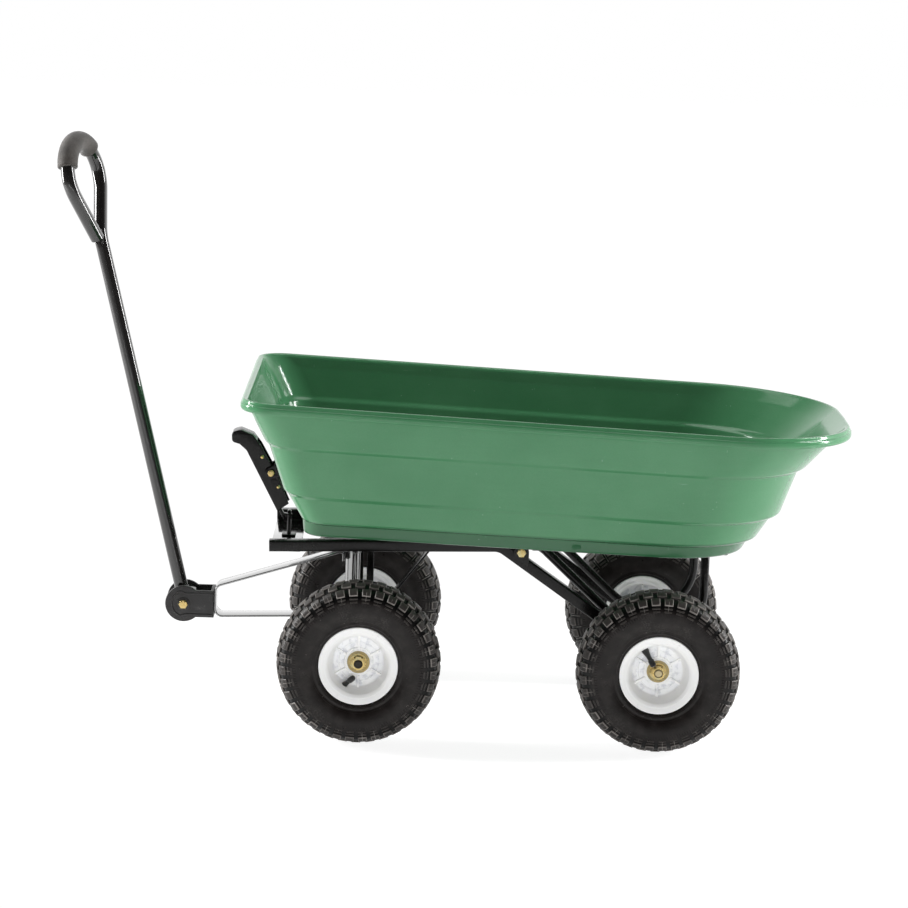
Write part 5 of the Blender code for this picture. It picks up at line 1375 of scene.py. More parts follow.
@dataclass
class Wheel:
    """One wheel at its corner: tyre, rim, valve and the nut that holds it."""

    corner: Corner
    track: float = 0.42
    valve_lean: float = 60.0

    def valve(self, rings: RingTree) -> Mesh:
        """The valve's stem with its cap, leaning out of the rim.

        Args:
            rings: The tree that repeats the cap's ribs.

        Returns:
            The mesh, in cart coordinates.
        """
        stem = [(0, 0), (0.0058, 0), (0.0056, 0.004), (0.0046, 0.008), (0.0037, 0.013)]
        stem += [(0.0036, 0.0188), (0.0033, 0.0196), (0, 0.0196)]
        cap = [(0, 0.019), (0.004, 0.019), (0.0044, 0.0196), (0.0043, 0.0296), (0.0036, 0.0308)]
        cap += [(0, 0.0312)]
        grip = block((0.0041, -0.0003, 0.0202), (0.0046, 0.0003, 0.0292), 0.0001)
        shapes = [lathe(stem, 28, closed=False), lathe(cap, 28, closed=False), rings.repeat(grip, 14)]
        _, x, side, _, angle, seat, twist = self.corner.value
        angles = math.radians(angle), math.radians(angle + twist)
        outward, lie = (Vector((math.cos(turn), 0, math.sin(turn))) for turn in angles)
        away = ACROSS * side
        foot = Vector((x, side * self.track / 2, TYRE_RADIUS)) + outward * (seat - 0.0045) + away * 0.0063
        lean = math.radians(self.valve_lean)
        along = (away * math.cos(lean) - lie * math.sin(lean)).normalized()
        return moved(joined(shapes), Matrix.Translation(foot) @ toward(along))

    def nut(self) -> Mesh:
        """The locking nut.

        Returns:
            The mesh, in the wheel's own axes.
        """
        flange = [(0.0085, 0.0091), (0.0134, 0.0091), (0.0137, 0.0096), (0.0122, 0.0112), (0.0085, 0.0112)]
        collar = [(0.0086, 0.0186), (0.0104, 0.0184), (0.0103, 0.02), (0.0092, 0.0214), (0.007, 0.0216)]
        collar += [(0.0082, 0.0198)]
        body = Fastener(0.0082, 0.0126, 0).hex_mesh(0.0108, 0.0188, 0.0084)
        return joined([lathe(flange, 56), body, lathe(collar, 48)])

    def washer(self) -> Mesh:
        """The washer under the nut, in the wheel's own axes."""
        outline = [(0.0085, 0.0065), (0.0171, 0.0065), (0.0175, 0.0069), (0.0175, 0.0085), (0.0171, 0.0089)]
        return lathe([*outline, (0.0085, 0.0089)], 56)

    def build(self, cart: Cart, tyre: Mesh, rim: Mesh) -> None:
        """Adds the wheel's pieces.

        Args:
            cart: The cart.
            tyre, rim: The meshes that all four wheels share.
        """
        name, x, side, carrier, *_ = self.corner.value
        body = "wheel_" + name
        place = at(x, side * self.track / 2, TYRE_RADIUS, turned(-90 * side))
        cart.piece("air_tyre_" + name, moved(tyre.copy(), place), Finish.TYRE, body, "tyre_" + name)
        cart.piece("wheel_rim_" + name, moved(rim.copy(), place), Finish.RIM, body, "rim_" + name)
        cart.piece("valve_stem_" + name, self.valve(cart.rings), Finish.VALVE, body, "valve_" + name)
        cart.piece("hub_nut_" + name, moved(self.nut(), place), Finish.ZINC, carrier, "axle_nut_" + name)
        cart.piece("hub_washer_" + name, moved(self.washer(), place), Finish.WASHER, carrier)


# Bars and tubes


def flat_bar(corners: Sequence[Place], width: float, thickness: float, step: float = 8.0) -> Mesh:
    """A flat bar that is bent in side view and lies across the cart.

    Args:
        corners: (x, z, bend radius) of the middle of its thickness.
        width: Its width, along Y.
        thickness: Its thickness.
        step: The most degrees that one part of a bend turns.

    Returns:
        The bar, with rounded edges and closed ends.
    """
    section = rectangle(width, thickness, thickness * 0.3, 30)
    return sweep(in_side_view(rounded(corners, step)), section, ACROSS)


def axle(reach: float = 0.233, radius: float = 0.008, pitch: float = 0.00125) -> Mesh:
    """An axle along Y with threaded, chamfered ends.

    Args:
        reach: Half its length.
        radius: Its radius.
        pitch: The thread's pitch.

    Returns:
        The axle, centred on zero.
    """
    z = reach - 0.016
    half: Profile = [(radius, z)]
    while z + pitch < reach - 0.0044:
        half += [(radius - 0.0006, z + pitch / 2), (radius, z + pitch)]
        z += pitch
    half += [(radius, reach - 0.0042), (radius - 0.0024, reach - 0.0006), (radius - 0.0032, reach), (0, reach)]
    profile = [(r, -z) for r, z in reversed(half)] + half
    return moved(lathe(profile, 40, closed=False), STANDING)


def hollow(path: Line, outer: Profile, inner: Profile, side: Vector, depth: float) -> Mesh:
    """A swept tube whose open ends show its wall.

    Args:
        path: The tube's path.
        outer, inner: The outlines of its outside and its bore.
        side: The direction of the outlines' first axis.
        depth: How far the bore is cut in from each end.

    Returns:
        The mesh.
    """
    cuts = []
    for first, second in ((path[0], path[1]), (path[-1], path[-2])):
        first = Vector(first)
        inward = (Vector(second) - first).normalized()
        line = [first - inward * 0.004, first + inward * depth * 0.5, first + inward * depth]
        cuts.append(sweep(line, inner, side))
    return carve(sweep(path, outer, side), *cuts)


@dataclass
class Chassis(Assembly):
    """The fixed frame: two bent rails, cross members, the rear axle and the latch's striker."""

    rail_y: float = 0.12
    rail_width: float = 0.02
    rail_height: float = 0.018
    rail_wall: float = 0.002
    front_x: float = -0.147
    front_z: float = 0.279
    bend_x: float = 0.216
    rise: float = 1.75
    tab: Sizes = (0.249, 0.2915, 0.012, 0.0035)
    king_x: float = -0.015
    striker: Sizes = (-0.122, 0.318, 0.009)
    axle_tube: float = 0.1795

    @property
    def inner(self) -> float:
        """How far the rails' inner faces are from the middle."""
        return self.rail_y - self.rail_width / 2

    def rail_bottom(self, x: float) -> float:
        """The height of the rail's underside ahead of its bend."""
        return self.front_z + math.tan(math.radians(self.rise)) * (x - self.front_x)

    def rail(self, side: float) -> Mesh:
        """One rail with its tab.

        Args:
            side: -1 for the left rail and 1 for the right one.

        Returns:
            The rail.
        """
        lift = self.rail_height / 2
        corners = [(self.front_x, self.rail_bottom(self.front_x) + lift, 0)]
        corners += [(self.bend_x, self.rail_bottom(self.bend_x) + lift, 0.03), (WHEELBASE, TYRE_RADIUS, 0)]
        line = rounded(corners, 4)
        end = Vector(line[-1])
        back = (Vector(line[-2]) - end).normalized()
        line[-1] = tuple(end + back * 0.006)
        outer = rectangle(self.rail_width, self.rail_height, 0.0028)
        wall = 2 * self.rail_wall
        bore = rectangle(self.rail_width - wall, self.rail_height - wall, 0.0014)
        bar = hollow(in_side_view(line, side * self.rail_y), outer, bore, ACROSS, 0.07)
        saddle = lathe([(0, -0.05), (0.0145, -0.05), (0.0145, 0.05), (0, 0.05)], 64, False)
        bar = carve(bar, moved(saddle, at(WHEELBASE, side * self.rail_y, TYRE_RADIUS, STANDING)))
        x, z, radius, thickness = self.tab
        fall = -back.y / -back.x
        feet = [(px, TYRE_RADIUS + (px - WHEELBASE) * fall - 0.001) for px in (x - radius, x + radius)]
        tab = plate([*arc(x, z, radius, 0, 180, 20), *feet], thickness, edge=0.0006)
        y = side * (self.rail_y + self.rail_width / 2 + thickness / 2)
        return joined([bar, moved(tab, at(0, y, 0, STANDING))])

    def cross_members(self) -> None:
        """Adds the bars between the rails."""
        inner = self.inner - GAP
        x, z = self.tab[:2]
        line = [(x, -inner, z), (x, 0, z), (x, inner, z)]
        outer, bore = rectangle(0.018, 0.018, 0.0024), rectangle(0.0138, 0.0138, 0.0012)
        bar = hollow(line, outer, bore, ALONG, 0.05)
        self.add("cross_bar_tube", bar, Finish.FRAME, "middle_cross_bar")
        top = self.rail_bottom(self.striker[0])
        low, high = (self.front_x, -inner, top - 0.004), (self.front_x + 0.048, inner, top)
        self.add("front_plate", block(low, high, 0.0008), Finish.LOOP, "front_cross_bar")
        low_z = self.rail_bottom(self.king_x)
        web, lip = low_z + 0.0015, low_z + 0.009
        corners = [(-0.045, lip, 0), (-0.045, web, 0.0032), (0.045, web, 0.0032), (0.045, lip, 0)]
        channel = moved(flat_bar(corners, 2 * inner, 0.003, 15), at(self.king_x, 0, 0))
        self.add("bolster_channel", channel, Finish.FRAME, "steering_bolster")

    def axle_group(self) -> None:
        """Adds the rear axle and the tube round it."""
        half = self.axle_tube
        ring = [(0.0088, -half), (0.0088, half), (0.0134, half), (0.014, half - 0.0006)]
        ring += [(0.014, 0.0006 - half), (0.0134, -half)]
        place = at(WHEELBASE, 0, TYRE_RADIUS)
        self.add("rear_tube", moved(lathe(ring, 64), place @ STANDING), Finish.FRAME, "rear_axle_tube")
        self.add("rear_shaft", moved(axle(), place), Finish.SHAFT, "rear_axle")

    def striker_staple(self) -> None:
        """Adds the staple that the latch hooks under."""
        x, top, spread = self.striker
        base = self.rail_bottom(x) + GAP
        low = base + 0.0015
        corners = [(-spread, low, 0), (-spread, top, 0.005), (spread, top, 0.005), (spread, low, 0)]
        path = [(x, u, z) for u, z in rounded(corners, 10)]
        staple = sweep(path, circle(0.003, 20), ALONG)
        foot = block((x - 0.011, -0.017, base), (x + 0.011, 0.017, base + 0.003), 0.0008)
        self.add("striker_staple", joined([staple, foot]), Finish.FRAME, "latch_striker")

    def fasteners(self) -> None:
        """Adds the bolts that hold the middle bar, and the king bolt."""
        x, z, _, thickness = self.tab
        outside = self.rail_y + self.rail_width / 2 + thickness + GAP
        bolt = Fastener(0.004, 0.0075, outside - (self.inner - GAP) + 0.004, nut=False)
        seats = [at(x, side * outside, z, turned(-90 * side)) for side, _ in SIDES]
        self.fasten("cross_bar_bolts", bolt.build(), seats, *("cross_bar_bolt_" + name for _, name in SIDES))
        seat = self.rail_bottom(self.king_x) + 0.003 + GAP
        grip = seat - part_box("king_bolt")[0].z - 0.006
        king = Fastener(0.008, 0.0135, grip, head_height=0.009, nut=False, tail=0.006, pitch=0.00125)
        self.fasten("king_bolt_hex", king.build(), [at(self.king_x, 0, seat)], "king_bolt")

    def weld_lines(self) -> list[Line]:
        """Where the cross members and the axle tube are welded to the rails.

        Returns:
            The points of each weld's line.
        """
        lines: list[Line] = []
        plate_top = self.rail_bottom(self.striker[0]) + 0.0006
        z = self.rail_bottom(self.king_x) + 0.0034
        for side, _ in SIDES:
            y = side * (self.inner - 0.0004)
            lines.append([(self.king_x - 0.04, y, z), (self.king_x + 0.04, y, z)])
            lines.append([(self.front_x + 0.003, y, plate_top), (self.front_x + 0.045, y, plate_top)])
            for reach in (self.inner + 0.0002, self.rail_y + self.rail_width / 2):
                lines.append(in_side_view(arc(WHEELBASE, TYRE_RADIUS, 0.0146, 95, 225, 24), side * reach))
        return lines

    def build(self) -> None:
        """Adds the fixed frame."""
        for side, name in SIDES:
            self.add("side_rail_" + name, self.rail(side), Finish.FRAME, "frame_rail_" + name)
        self.cross_members()
        self.axle_group()
        self.striker_staple()
        self.fasteners()
        self.weld("frame_welds", self.weld_lines(), 0.0016)


@dataclass
class Steering(Assembly):
    """The steered front: axle, beam, king post, turntable, brace, draw loop and clevis."""

    body: str = "steering"
    king_x: float = -0.015
    post_radius: float = 0.0145
    collar: Pair = (0.016, 0.022)
    beam_low: float = 0.115
    beam_high: float = 0.15
    beam_half: float = 0.1795
    bolster_low: float = 0.283033
    strip: float = 0.003
    loop_width: float = 0.038
    table: Sizes = (-0.046, 0.112, 0.03, 0.004)
    stay_x: float = 0.0105
    stay_half: float = 0.0055
    pivot: Pair = (-0.288, 0.1656)
    clevis_radius: float = 0.0295
    clevis_inside: float = 0.02
    clevis_outside: float = 0.025
    neck: float = 0.022
    loop_front: float = -0.2375

    def heights(self) -> Sizes:
        """Where the parts of the post stand.

        Returns:
            The post's foot and top and the turntable's underside and top.
        """
        table_top = self.bolster_low - 0.0005
        table_low = table_top - self.table[3]
        return self.beam_high + self.strip + 2 * GAP, table_low - GAP, table_low, table_top

    def beam(self) -> Mesh:
        """The square tube round the front axle.

        Returns:
            The mesh.
        """
        middle = (self.beam_low + self.beam_high) / 2
        height = self.beam_high - self.beam_low
        line = [(0, y, middle) for y in (-self.beam_half, -0.09, 0, 0.09, self.beam_half)]
        outer, inner = rectangle(0.03, height, 0.0032), rectangle(0.024, height - 0.006, 0.0014)
        return hollow(line, outer, inner, ALONG, 0.045)

    def post(self) -> Mesh:
        """The king post with its collar, open along the king bolt.

        Returns:
            The mesh.
        """
        foot, top, _, _ = self.heights()
        radius, (collar, depth) = self.post_radius, self.collar
        bore, wide_bore, inner_top = 0.009, radius - 0.0022, foot + 0.02
        profile = [(bore, top, 0.0004), (collar, top, 0.0008), (collar, top - depth, 0.0008)]
        profile += [(radius, top - depth - 0.001, 0.0006), (radius, foot, 0.0008), (wide_bore, foot, 0.0004)]
        profile += [(wide_bore, inner_top, 0.0004), (bore, inner_top, 0.0004)]
        return moved(lathe(rounded(profile, 22.5, loop=True), 72), at(self.king_x, 0, 0))

    def turntable(self) -> Mesh:
        """The plate that turns under the bolster.

        Returns:
            The mesh.
        """
        front, rear, half, thickness = self.table
        _, _, low, top = self.heights()
        corners = [(front, -half, 0.02), (rear, -0.015, 0.004), (rear, 0.015, 0.004), (front, half, 0.02)]
        holes = [circle(0.0087, 32, self.king_x)]
        return moved(plate(rounded(corners, 8, loop=True), thickness, holes), at(0, 0, (low + top) / 2))

    def draw_loop(self) -> Mesh:
        """The strip that runs from the post's collar round the clevis and back over the beam.

        Returns:
            The mesh.
        """
        upper = self.king_x - self.collar[0] - GAP - self.strip / 2
        arm = self.beam_high + GAP + self.strip / 2
        corners = [(upper, 0.2425, 0), (upper, 0.2585, 0.0045), (self.loop_front, 0.194, 0.012)]
        corners += [(self.loop_front, 0.1445, 0.012), (self.king_x - self.post_radius - 0.02, arm, 0.03)]
        return flat_bar([*corners, (0.0135, arm, 0)], self.loop_width, self.strip, 4)

    def clevis(self) -> Mesh:
        """The cast clevis: two round cheeks with a raised border, open towards the handle.

        Returns:
            The mesh.
        """
        (x, z), inside, outside = self.pivot, self.clevis_inside, self.clevis_outside
        back = self.loop_front - self.strip / 2 - GAP
        start = math.degrees(math.asin(self.neck / self.clevis_radius))
        outline = arc(x, z, self.clevis_radius, start, 360 - start, 64)
        outline += [(back, z - self.neck), (back, z + self.neck)]
        solid = plate(outline, 2 * outside, [circle(0.0045, 24, x, z)], 0.0016, 4)
        mouth = block((-0.05, -0.05, -inside), (back - 0.005 - x, 0.05, inside), 0.0012)
        shapes = [carve(solid, moved(mouth, Matrix.Translation((x, z, 0))))]
        half = 0.0172
        border = [(back - 0.0022, z + half, 0.002), (x + 0.003, z + half, 0)]
        border += [(px, pz, 0) for px, pz in arc(x + 0.003, z, half + 0.0045, 112, 248, 30)]
        border += [(x + 0.003, z - half, 0), (back - 0.0022, z - half, 0.002)]
        section = [(0.0016 * u, 0.0014 * v) for u, v in circle(1)]
        boss = [(0, outside), (0.0108, outside), (0.0104, outside + 0.0007), (0.0092, outside + 0.0011)]
        boss.append((0, outside + 0.0011))
        for side, _ in SIDES:
            line = [Vector((px, pz, side * (outside - 0.0002))) for px, pz in rounded(border, 15)]
            shapes.append(sweep(line, section, UP.cross(line[1] - line[0])))
            shapes.append(moved(lathe([(r, h * side) for r, h in boss], 48, False), at(x, z, 0)))
        return moved(joined(shapes), STANDING)

    def fasteners(self) -> None:
        """Adds the pivot bolt and the two small bolts."""
        _, top, _, table_top = self.heights()
        x, z = self.pivot
        seat = self.clevis_outside + 0.0014
        pivot = Fastener(0.004, 0.0075, 2 * seat, tail=0.006).build()
        self.fasten("pivot_bolt", pivot, [at(x, -seat, z, STANDING)], "handle_pivot_bolt")
        brace = Fastener(0.004, 0.0072, self.table[3] + self.strip + 3 * GAP).build()
        self.fasten("brace_fastener", brace, [at(self.table[1] - 0.029, 0, table_top + GAP)], "brace_bolt")
        stay = Fastener(0.003, 0.0062, 0.0116, head_height=0.0035, tail=0.0055, nut_height=0.0034).build()
        place = at(self.stay_x + self.stay_half + GAP, 0, top - self.collar[1] * 0.7, turned(90, "Y"))
        self.fasten("stay_fastener", stay, [place], "stay_bolt")

    def weld_lines(self) -> list[Line]:
        """Where the post, strip, stay and brace are welded.

        Returns:
            The points of each weld's line.
        """
        foot, top, _, _ = self.heights()
        lines: list[Line] = []
        for radius, z in ((self.post_radius + 0.0004, foot + 0.0002), (self.collar[0] + 0.0004, top - 0.0004)):
            lines.append([(px, py, z) for px, py in arc(self.king_x, 0, radius, 0, 360, 40)])
        upper = self.king_x - self.collar[0] - 0.0008
        beam, front, low = self.beam_high + 0.0004, 0.0156, 0.1205
        for side, _ in SIDES:
            lines.append([(upper, side * 0.0105, 0.2445), (upper, side * 0.0105, 0.257)])
            lines.append([(-0.013, side * 0.0192, beam), (0.013, side * 0.0192, beam)])
            edge = self.stay_x + side * 0.0058
            lines.append([(edge, -0.0125, foot + 0.0002), (edge, 0.0125, foot + 0.0002)])
            lines.append([(front, side * 0.0152, low), (front, side * 0.0152, low + 0.026)])
        return lines

    def build(self) -> None:
        """Adds the steered front."""
        foot, top, table_low, _ = self.heights()
        self.add("front_shaft", moved(axle(), at(0, 0, TYRE_RADIUS)), Finish.AXLE, "front_axle")
        self.add("axle_beam", self.beam(), Finish.FRAME, "front_axle_beam")
        self.add("post_tube", self.post(), Finish.LOOP, "king_post")
        self.add("turntable_disc", self.turntable(), Finish.FRAME, "turntable_plate")
        low, high = (self.stay_x - self.stay_half, -0.013, foot), (self.stay_x + self.stay_half, 0.013, top)
        self.add("post_stay", block(low, high, 0.0012), Finish.FRAME, "king_post_stay")
        lift = table_low - GAP - self.strip / 2
        back = 0.015 + GAP + self.strip / 2
        rear = self.table[1]
        corners = [(rear - 0.042, lift, 0), (rear + 0.003, lift, 0.004), (back, 0.148, 0.004), (back, 0.12, 0)]
        self.add("rear_brace", flat_bar(corners, 0.03, self.strip), Finish.FRAME, "steering_brace")
        self.add("draw_strip", self.draw_loop(), Finish.LOOP, "draw_loop")
        self.add("cast_clevis", self.clevis(), Finish.CLEVIS, "clevis")
        self.fasteners()
        self.weld("steering_welds", self.weld_lines(), 0.0015)


@dataclass
class Handle(Assembly):
    """The pull handle: a tube bent to a closed loop, its hub and the sleeve over the loop's top."""

    body: str = "handle"
    pivot: Pair = (-0.288, 0.1656)
    lean: float = 13.5
    twist: float = -16.5
    tube_radius: float = 0.011
    hub_radius: float = 0.022
    hub_half: float = 0.0197
    waist: float = 0.585
    top: float = 0.757
    half_width: float = 0.059
    set_back: float = 0.007
    grip_radius: float = 0.016
    spread: Pair = (47, 66)

    def forward(self, along: float) -> float:
        """How far ahead of the tube's straight line the loop stands."""
        share = (along - self.waist + 0.045) / 0.16
        return -self.set_back * min(max(share, 0), 1)

    def line(self) -> list[Vector]:
        """The tube's middle, from the hub round the loop.

        Returns:
            Its points, in the handle's own axes.
        """
        wide, bend = self.half_width, self.half_width * 0.98
        corners = [(0, self.hub_radius - 0.003, 0), (0, self.waist + 0.018, 0.055)]
        corners += [(wide, self.top - bend - 0.012, 0.06), (wide, self.top, bend), (-wide, self.top, bend)]
        corners += [(-wide, self.top - bend - 0.012, 0.06), (-self.tube_radius * 1.18, self.waist + 0.018, 0)]
        return [Vector((self.forward(v), u, v)) for u, v in rounded(corners, 3)]

    def sleeve_line(self) -> list[Vector]:
        """The middle of the grip's sleeve.

        Returns:
            Its points, in the handle's own axes.
        """
        wide, high = self.half_width, self.half_width * 0.98
        far, near = self.spread
        middle = [(wide * u, self.top - high + high * v) for u, v in arc(0, 0, 1, 90 - far, 90 + near, 48)]
        return [Vector((self.forward(v), u, v)) for u, v in middle]

    def hub(self) -> Mesh:
        """The barrel that turns on the pivot bolt.

        Returns:
            The mesh.
        """
        bore, radius, half = 0.0046, self.hub_radius, self.hub_half
        corners = [(bore, -half, 0.0005), (radius, -half, 0.0014), (radius, half, 0.0014), (bore, half, 0.0005)]
        return moved(lathe(rounded(corners, 22.5, loop=True), 64), STANDING)

    def sleeve(self) -> Mesh:
        """The rubber sleeve, with rounded ends and a pressed ring near its lower one.

        Returns:
            The mesh.
        """
        path, scales = rounded_ends(self.sleeve_line(), 0.0024, self.grip_radius)
        for i in (-6, -5):
            scales[i] *= 0.985
        return sweep(path, circle(self.grip_radius, 40), ALONG, scales, 40)

    def weld_lines(self) -> list[Line]:
        """The welds round the tube's foot and along the joint where the loop closes.

        Returns:
            The points of each weld's line.
        """
        foot = [(px, py, self.hub_radius + 0.0002) for px, py in arc(0, 0, self.tube_radius, 0, 360, 32)]
        joint = []
        for i in range(15):
            share = i / 14 - 0.5
            along = self.waist + 0.019 + 0.02 * share
            ahead = self.forward(along) - 0.0072 + abs(share) * 0.004
            joint.append(Vector((ahead, -0.0062 + 0.007 * share, along)))
        rear = [(self.forward(p.z) * 2 - p.x, p.y, p.z) for p in joint]
        return [foot, joint, rear]

    def build(self) -> None:
        """Adds the handle."""
        place = at(self.pivot[0], 0, self.pivot[1], turned(-self.lean, "Y") @ turned(self.twist, "Z"))
        tube = sweep(self.line(), circle(self.tube_radius, 36), ALONG)
        welds = self.cart.welds.along(self.weld_lines(), 0.0017)
        self.add("pull_handle", moved(joined([tube, self.hub(), welds]), place), Finish.TUBE, "handle_tube")
        self.add("grip_sleeve", moved(self.sleeve(), place), Finish.GRIP, "handle_grip")


Level = Sizes
TRAY_LEVELS: dict[str, Level] = {
    # heights at both stations, front and rear x, half width, front and rear corner radius
    "bottom": (0.3173, 0.2986, -0.093, 0.604, 0.184, 0.036, 0.125),
    "skirt_low": (0.34, 0.3205, -0.0945, 0.614, 0.188, 0.04, 0.13),
    "skirt_high": (0.344, 0.3245, -0.097, 0.626, 0.198, 0.048, 0.136),
    "step_low": (0.3825, 0.3595, -0.119, 0.648, 0.207, 0.054, 0.15),
    "step_high": (0.388, 0.365, -0.125, 0.661, 0.213, 0.056, 0.154),
    "band_low": (0.461, 0.438, -0.149, 0.686, 0.229, 0.059, 0.168),
    "band_high": (0.4665, 0.4435, -0.155, 0.698, 0.234, 0.06, 0.172),
    "wall_top": (0.513, 0.4895, -0.1775, 0.738, 0.2465, 0.058, 0.182),
    "rim": (0.5336, 0.5098, -0.192, 0.765, 0.258, 0.054, 0.19),
}
WALL_LEVELS = tuple(TRAY_LEVELS)[1:-1]


@dataclass
class Tray(Assembly):
    """The moulded tray with its steps and rolled rim, its straps, bolts and bent legs."""

    body: str = "tray"
    wall: float = 0.0035
    stations: Pair = (-0.1, 0.52)
    crown: float = 0.015
    fillet: float = 0.012
    rim_lip: float = 0.017
    rim_round: float = 0.005
    bend: float = 0.0026
    corner_steps: tuple[int, int] = (14, 26)
    strap: Sizes = (0.018, 0.118, 0.003)
    bolt_spread: float = 0.072
    leg_spread: float = 0.098
    leg_radius: float = 0.007
    leg_bend: float = 0.076
    leg_slope: float = 43.0
    lug_width: float = 0.012
    front_strap: float = 0.278

    def height(self, level: Level, x: float) -> float:
        """The height of a level at a place along the tray."""
        front, rear = self.stations
        return level[0] + (level[1] - level[0]) * (x - front) / (rear - front)

    def set_in(self, name: str, inset: float = 0.0, drop: float = 0.0) -> Level:
        """A level moved inwards and down.

        Args:
            name: The level's name.
            inset: How far its outline moves inwards.
            drop: How far it moves down.

        Returns:
            The new level.
        """
        z_front, z_rear, front, rear, half, *radii = TRAY_LEVELS[name]
        smaller = (max(radius - inset, 0.01) for radius in radii)
        return (z_front - drop, z_rear - drop, front + inset, rear - inset, half - inset, *smaller)

    def ring(self, level: Level) -> list[Vector]:
        """The points round one level.

        Args:
            level: The level.

        Returns:
            The points, which start in the middle of its front.
        """
        _, _, front, rear, half, front_radius, rear_radius = level
        ahead, behind = self.corner_steps
        quarter = arc(front + front_radius, half - front_radius, front_radius, 180, 90, ahead)
        middle = (front + rear) / 2
        quarter += [(middle - 0.02, half), (middle, half)]
        quarter += arc(rear - rear_radius, half - rear_radius, rear_radius, 90, 0, behind)
        side = []
        for x, y in quarter:
            share = min(max((x - middle) / (rear - rear_radius - middle), 0), 1)
            side.append((x - self.crown * (y / half) ** 2 * share, y))
        outline = [(front, 0), *side, (rear, 0), *((x, -y) for x, y in reversed(side))]
        return [Vector((x, y, self.height(level, x))) for x, y in outline]

    def smooth(self, levels: Sequence[Level]) -> list[Level]:
        """Rounds the corners of the tray's section.

        Args:
            levels: The corners, from the floor up.

        Returns:
            More levels, which follow the rounded section.
        """
        made = [levels[0]]
        for before, corner, after in zip(levels, levels[1:], levels[2:]):
            ends = []
            for other in (before, after):
                length = math.hypot(other[0] - corner[0], other[4] - corner[4])
                share = min(self.bend / length, 0.46)
                ends.append(tuple(c + (o - c) * share for c, o in zip(corner, other)))
            for t in (0, 0.25, 0.5, 0.75, 1):
                weights = ((1 - t) ** 2, 2 * t * (1 - t), t * t)
                threes = zip(ends[0], corner, ends[1])
                made.append(tuple(sum(w * v for w, v in zip(weights, three)) for three in threes))
        return [*made, levels[-1]]

    def section(self) -> list[Level]:
        """The tray's inside from the floor's edge up and over the rim.

        Returns:
            The levels, with their corners rounded.
        """
        wall = self.wall
        rim_wall = TRAY_LEVELS["rim"][4] - TRAY_LEVELS["wall_top"][4]
        levels = [self.set_in("bottom", wall + self.fillet * 2.2, -wall), self.set_in("bottom", wall, -wall)]
        levels += [self.set_in(name, wall) for name in WALL_LEVELS]
        rim = [(rim_wall + wall * 0.8 - 0.002, self.rim_round * 0.8), (rim_wall * 0.8, 0.0004), (0.0034, 0)]
        rim += [(0.0028, 0.0056), (0.0002, 0.0068), (0, 0.0146), (0.0022, self.rim_lip)]
        return self.smooth(levels + [self.set_in("rim", inset, drop) for inset, drop in rim])

    def shell(self) -> Mesh:
        """The tray itself: its inner skin, thickened outwards.

        Returns:
            The mesh.
        """
        bm = bmesh.new()
        rings = [[bm.verts.new(p) for p in self.ring(level)] for level in self.section()]
        base = bm.faces.new(rings[0][::-1])
        bridge(bm, rings)
        base.normal_update()
        if base.normal.z < 0:
            bmesh.ops.reverse_faces(bm, faces=bm.faces)
        bmesh.ops.triangulate(bm, faces=[f for f in bm.faces if len(f.verts) > 4])
        mesh = bpy.data.meshes.new("tray")
        bm.to_mesh(mesh)
        bm.free()
        obj = linked("tray", mesh)
        solid = obj.modifiers.new("wall", "SOLIDIFY")
        solid.thickness, solid.offset = self.wall, -1
        solid.use_even_offset = solid.use_quality_normals = True
        return evaluated(obj, 0.000001, 50)

    def under(self, x: float) -> float:
        """The height of the tray's underside."""
        return self.height(TRAY_LEVELS["bottom"], x)

    def straps(self) -> None:
        """Adds the two straps and the four carriage bolts."""
        width, half, thickness = self.strap
        radius, edge = 0.004, 0.0005
        stack = thickness + self.wall + 3 * GAP
        dome = [(0, 0.0034), (0.0034, 0.0032), (0.0066, 0.0024), (0.009, 0.0011), (0.01, 0.0002), (0.01, 0)]
        dome.append((0, -0.0001))
        nut = Fastener(radius, 0.0075, 0).hex_mesh(-stack - 0.0063, -stack, 0.0038)
        low, high = -stack - 0.009, -0.0002
        shank = [(0, low), (radius - edge, low), (radius, low + edge), (radius, high - edge)]
        shank += [(radius - edge, high), (0, high)]
        bolt = joined([lathe(dome, 40, False), nut, lathe(shank, 24, False)])
        slope = Matrix.Rotation(-math.atan((self.under(0.1) - self.under(0)) / 0.1), 4, "Y")
        seats, names = [], []
        rear_strap = WHEELBASE + self.leg_bend + self.leg_radius + 0.009
        for end, x in (("front", self.front_strap), ("rear", rear_strap)):
            top = self.under(x) - GAP
            flat = plate(rectangle(2 * width, 2 * half, 0.006, 12), thickness)
            flat = moved(flat, at(x, 0, top - thickness / 2, slope))
            self.add("cross_strap_" + end, flat, Finish.FRAME, "tray_strap_" + end)
            for side, name in SIDES:
                seats.append(at(x, side * self.bolt_spread, top + 2 * GAP + self.wall, slope))
                names.append(f"tray_bolt_{end}_{name}")
        self.fasten("carriage_bolts", bolt, seats, *names)

    def leg_line(self) -> Profile:
        """The middle of a leg in side view.

        Returns:
            Its (x, z) points, from its front end.
        """
        low = TYRE_RADIUS + 0.01805 + self.leg_radius - 0.0015
        rear = WHEELBASE + self.leg_bend
        turn = math.radians(self.leg_slope)
        centre = Vector((WHEELBASE, low + self.leg_bend))
        touch = centre + self.leg_bend * Vector((-math.sin(turn), -math.cos(turn)))
        lower = self.strap[2] + 2 * GAP
        front_top = self.under(self.front_strap) - lower - self.leg_radius
        front = touch.x - (front_top - touch.y) / math.tan(turn)
        bend = arc(centre.x, centre.y, self.leg_bend, -90 - self.leg_slope, 0, 28)
        level = front_top - 0.0009
        start = rounded([(front - 0.014, level, 0), (front, level, 0.014), (*bend[0], 0)], 8)
        return [*start, *bend[1:], (rear, self.under(rear) - lower - 0.0006)]

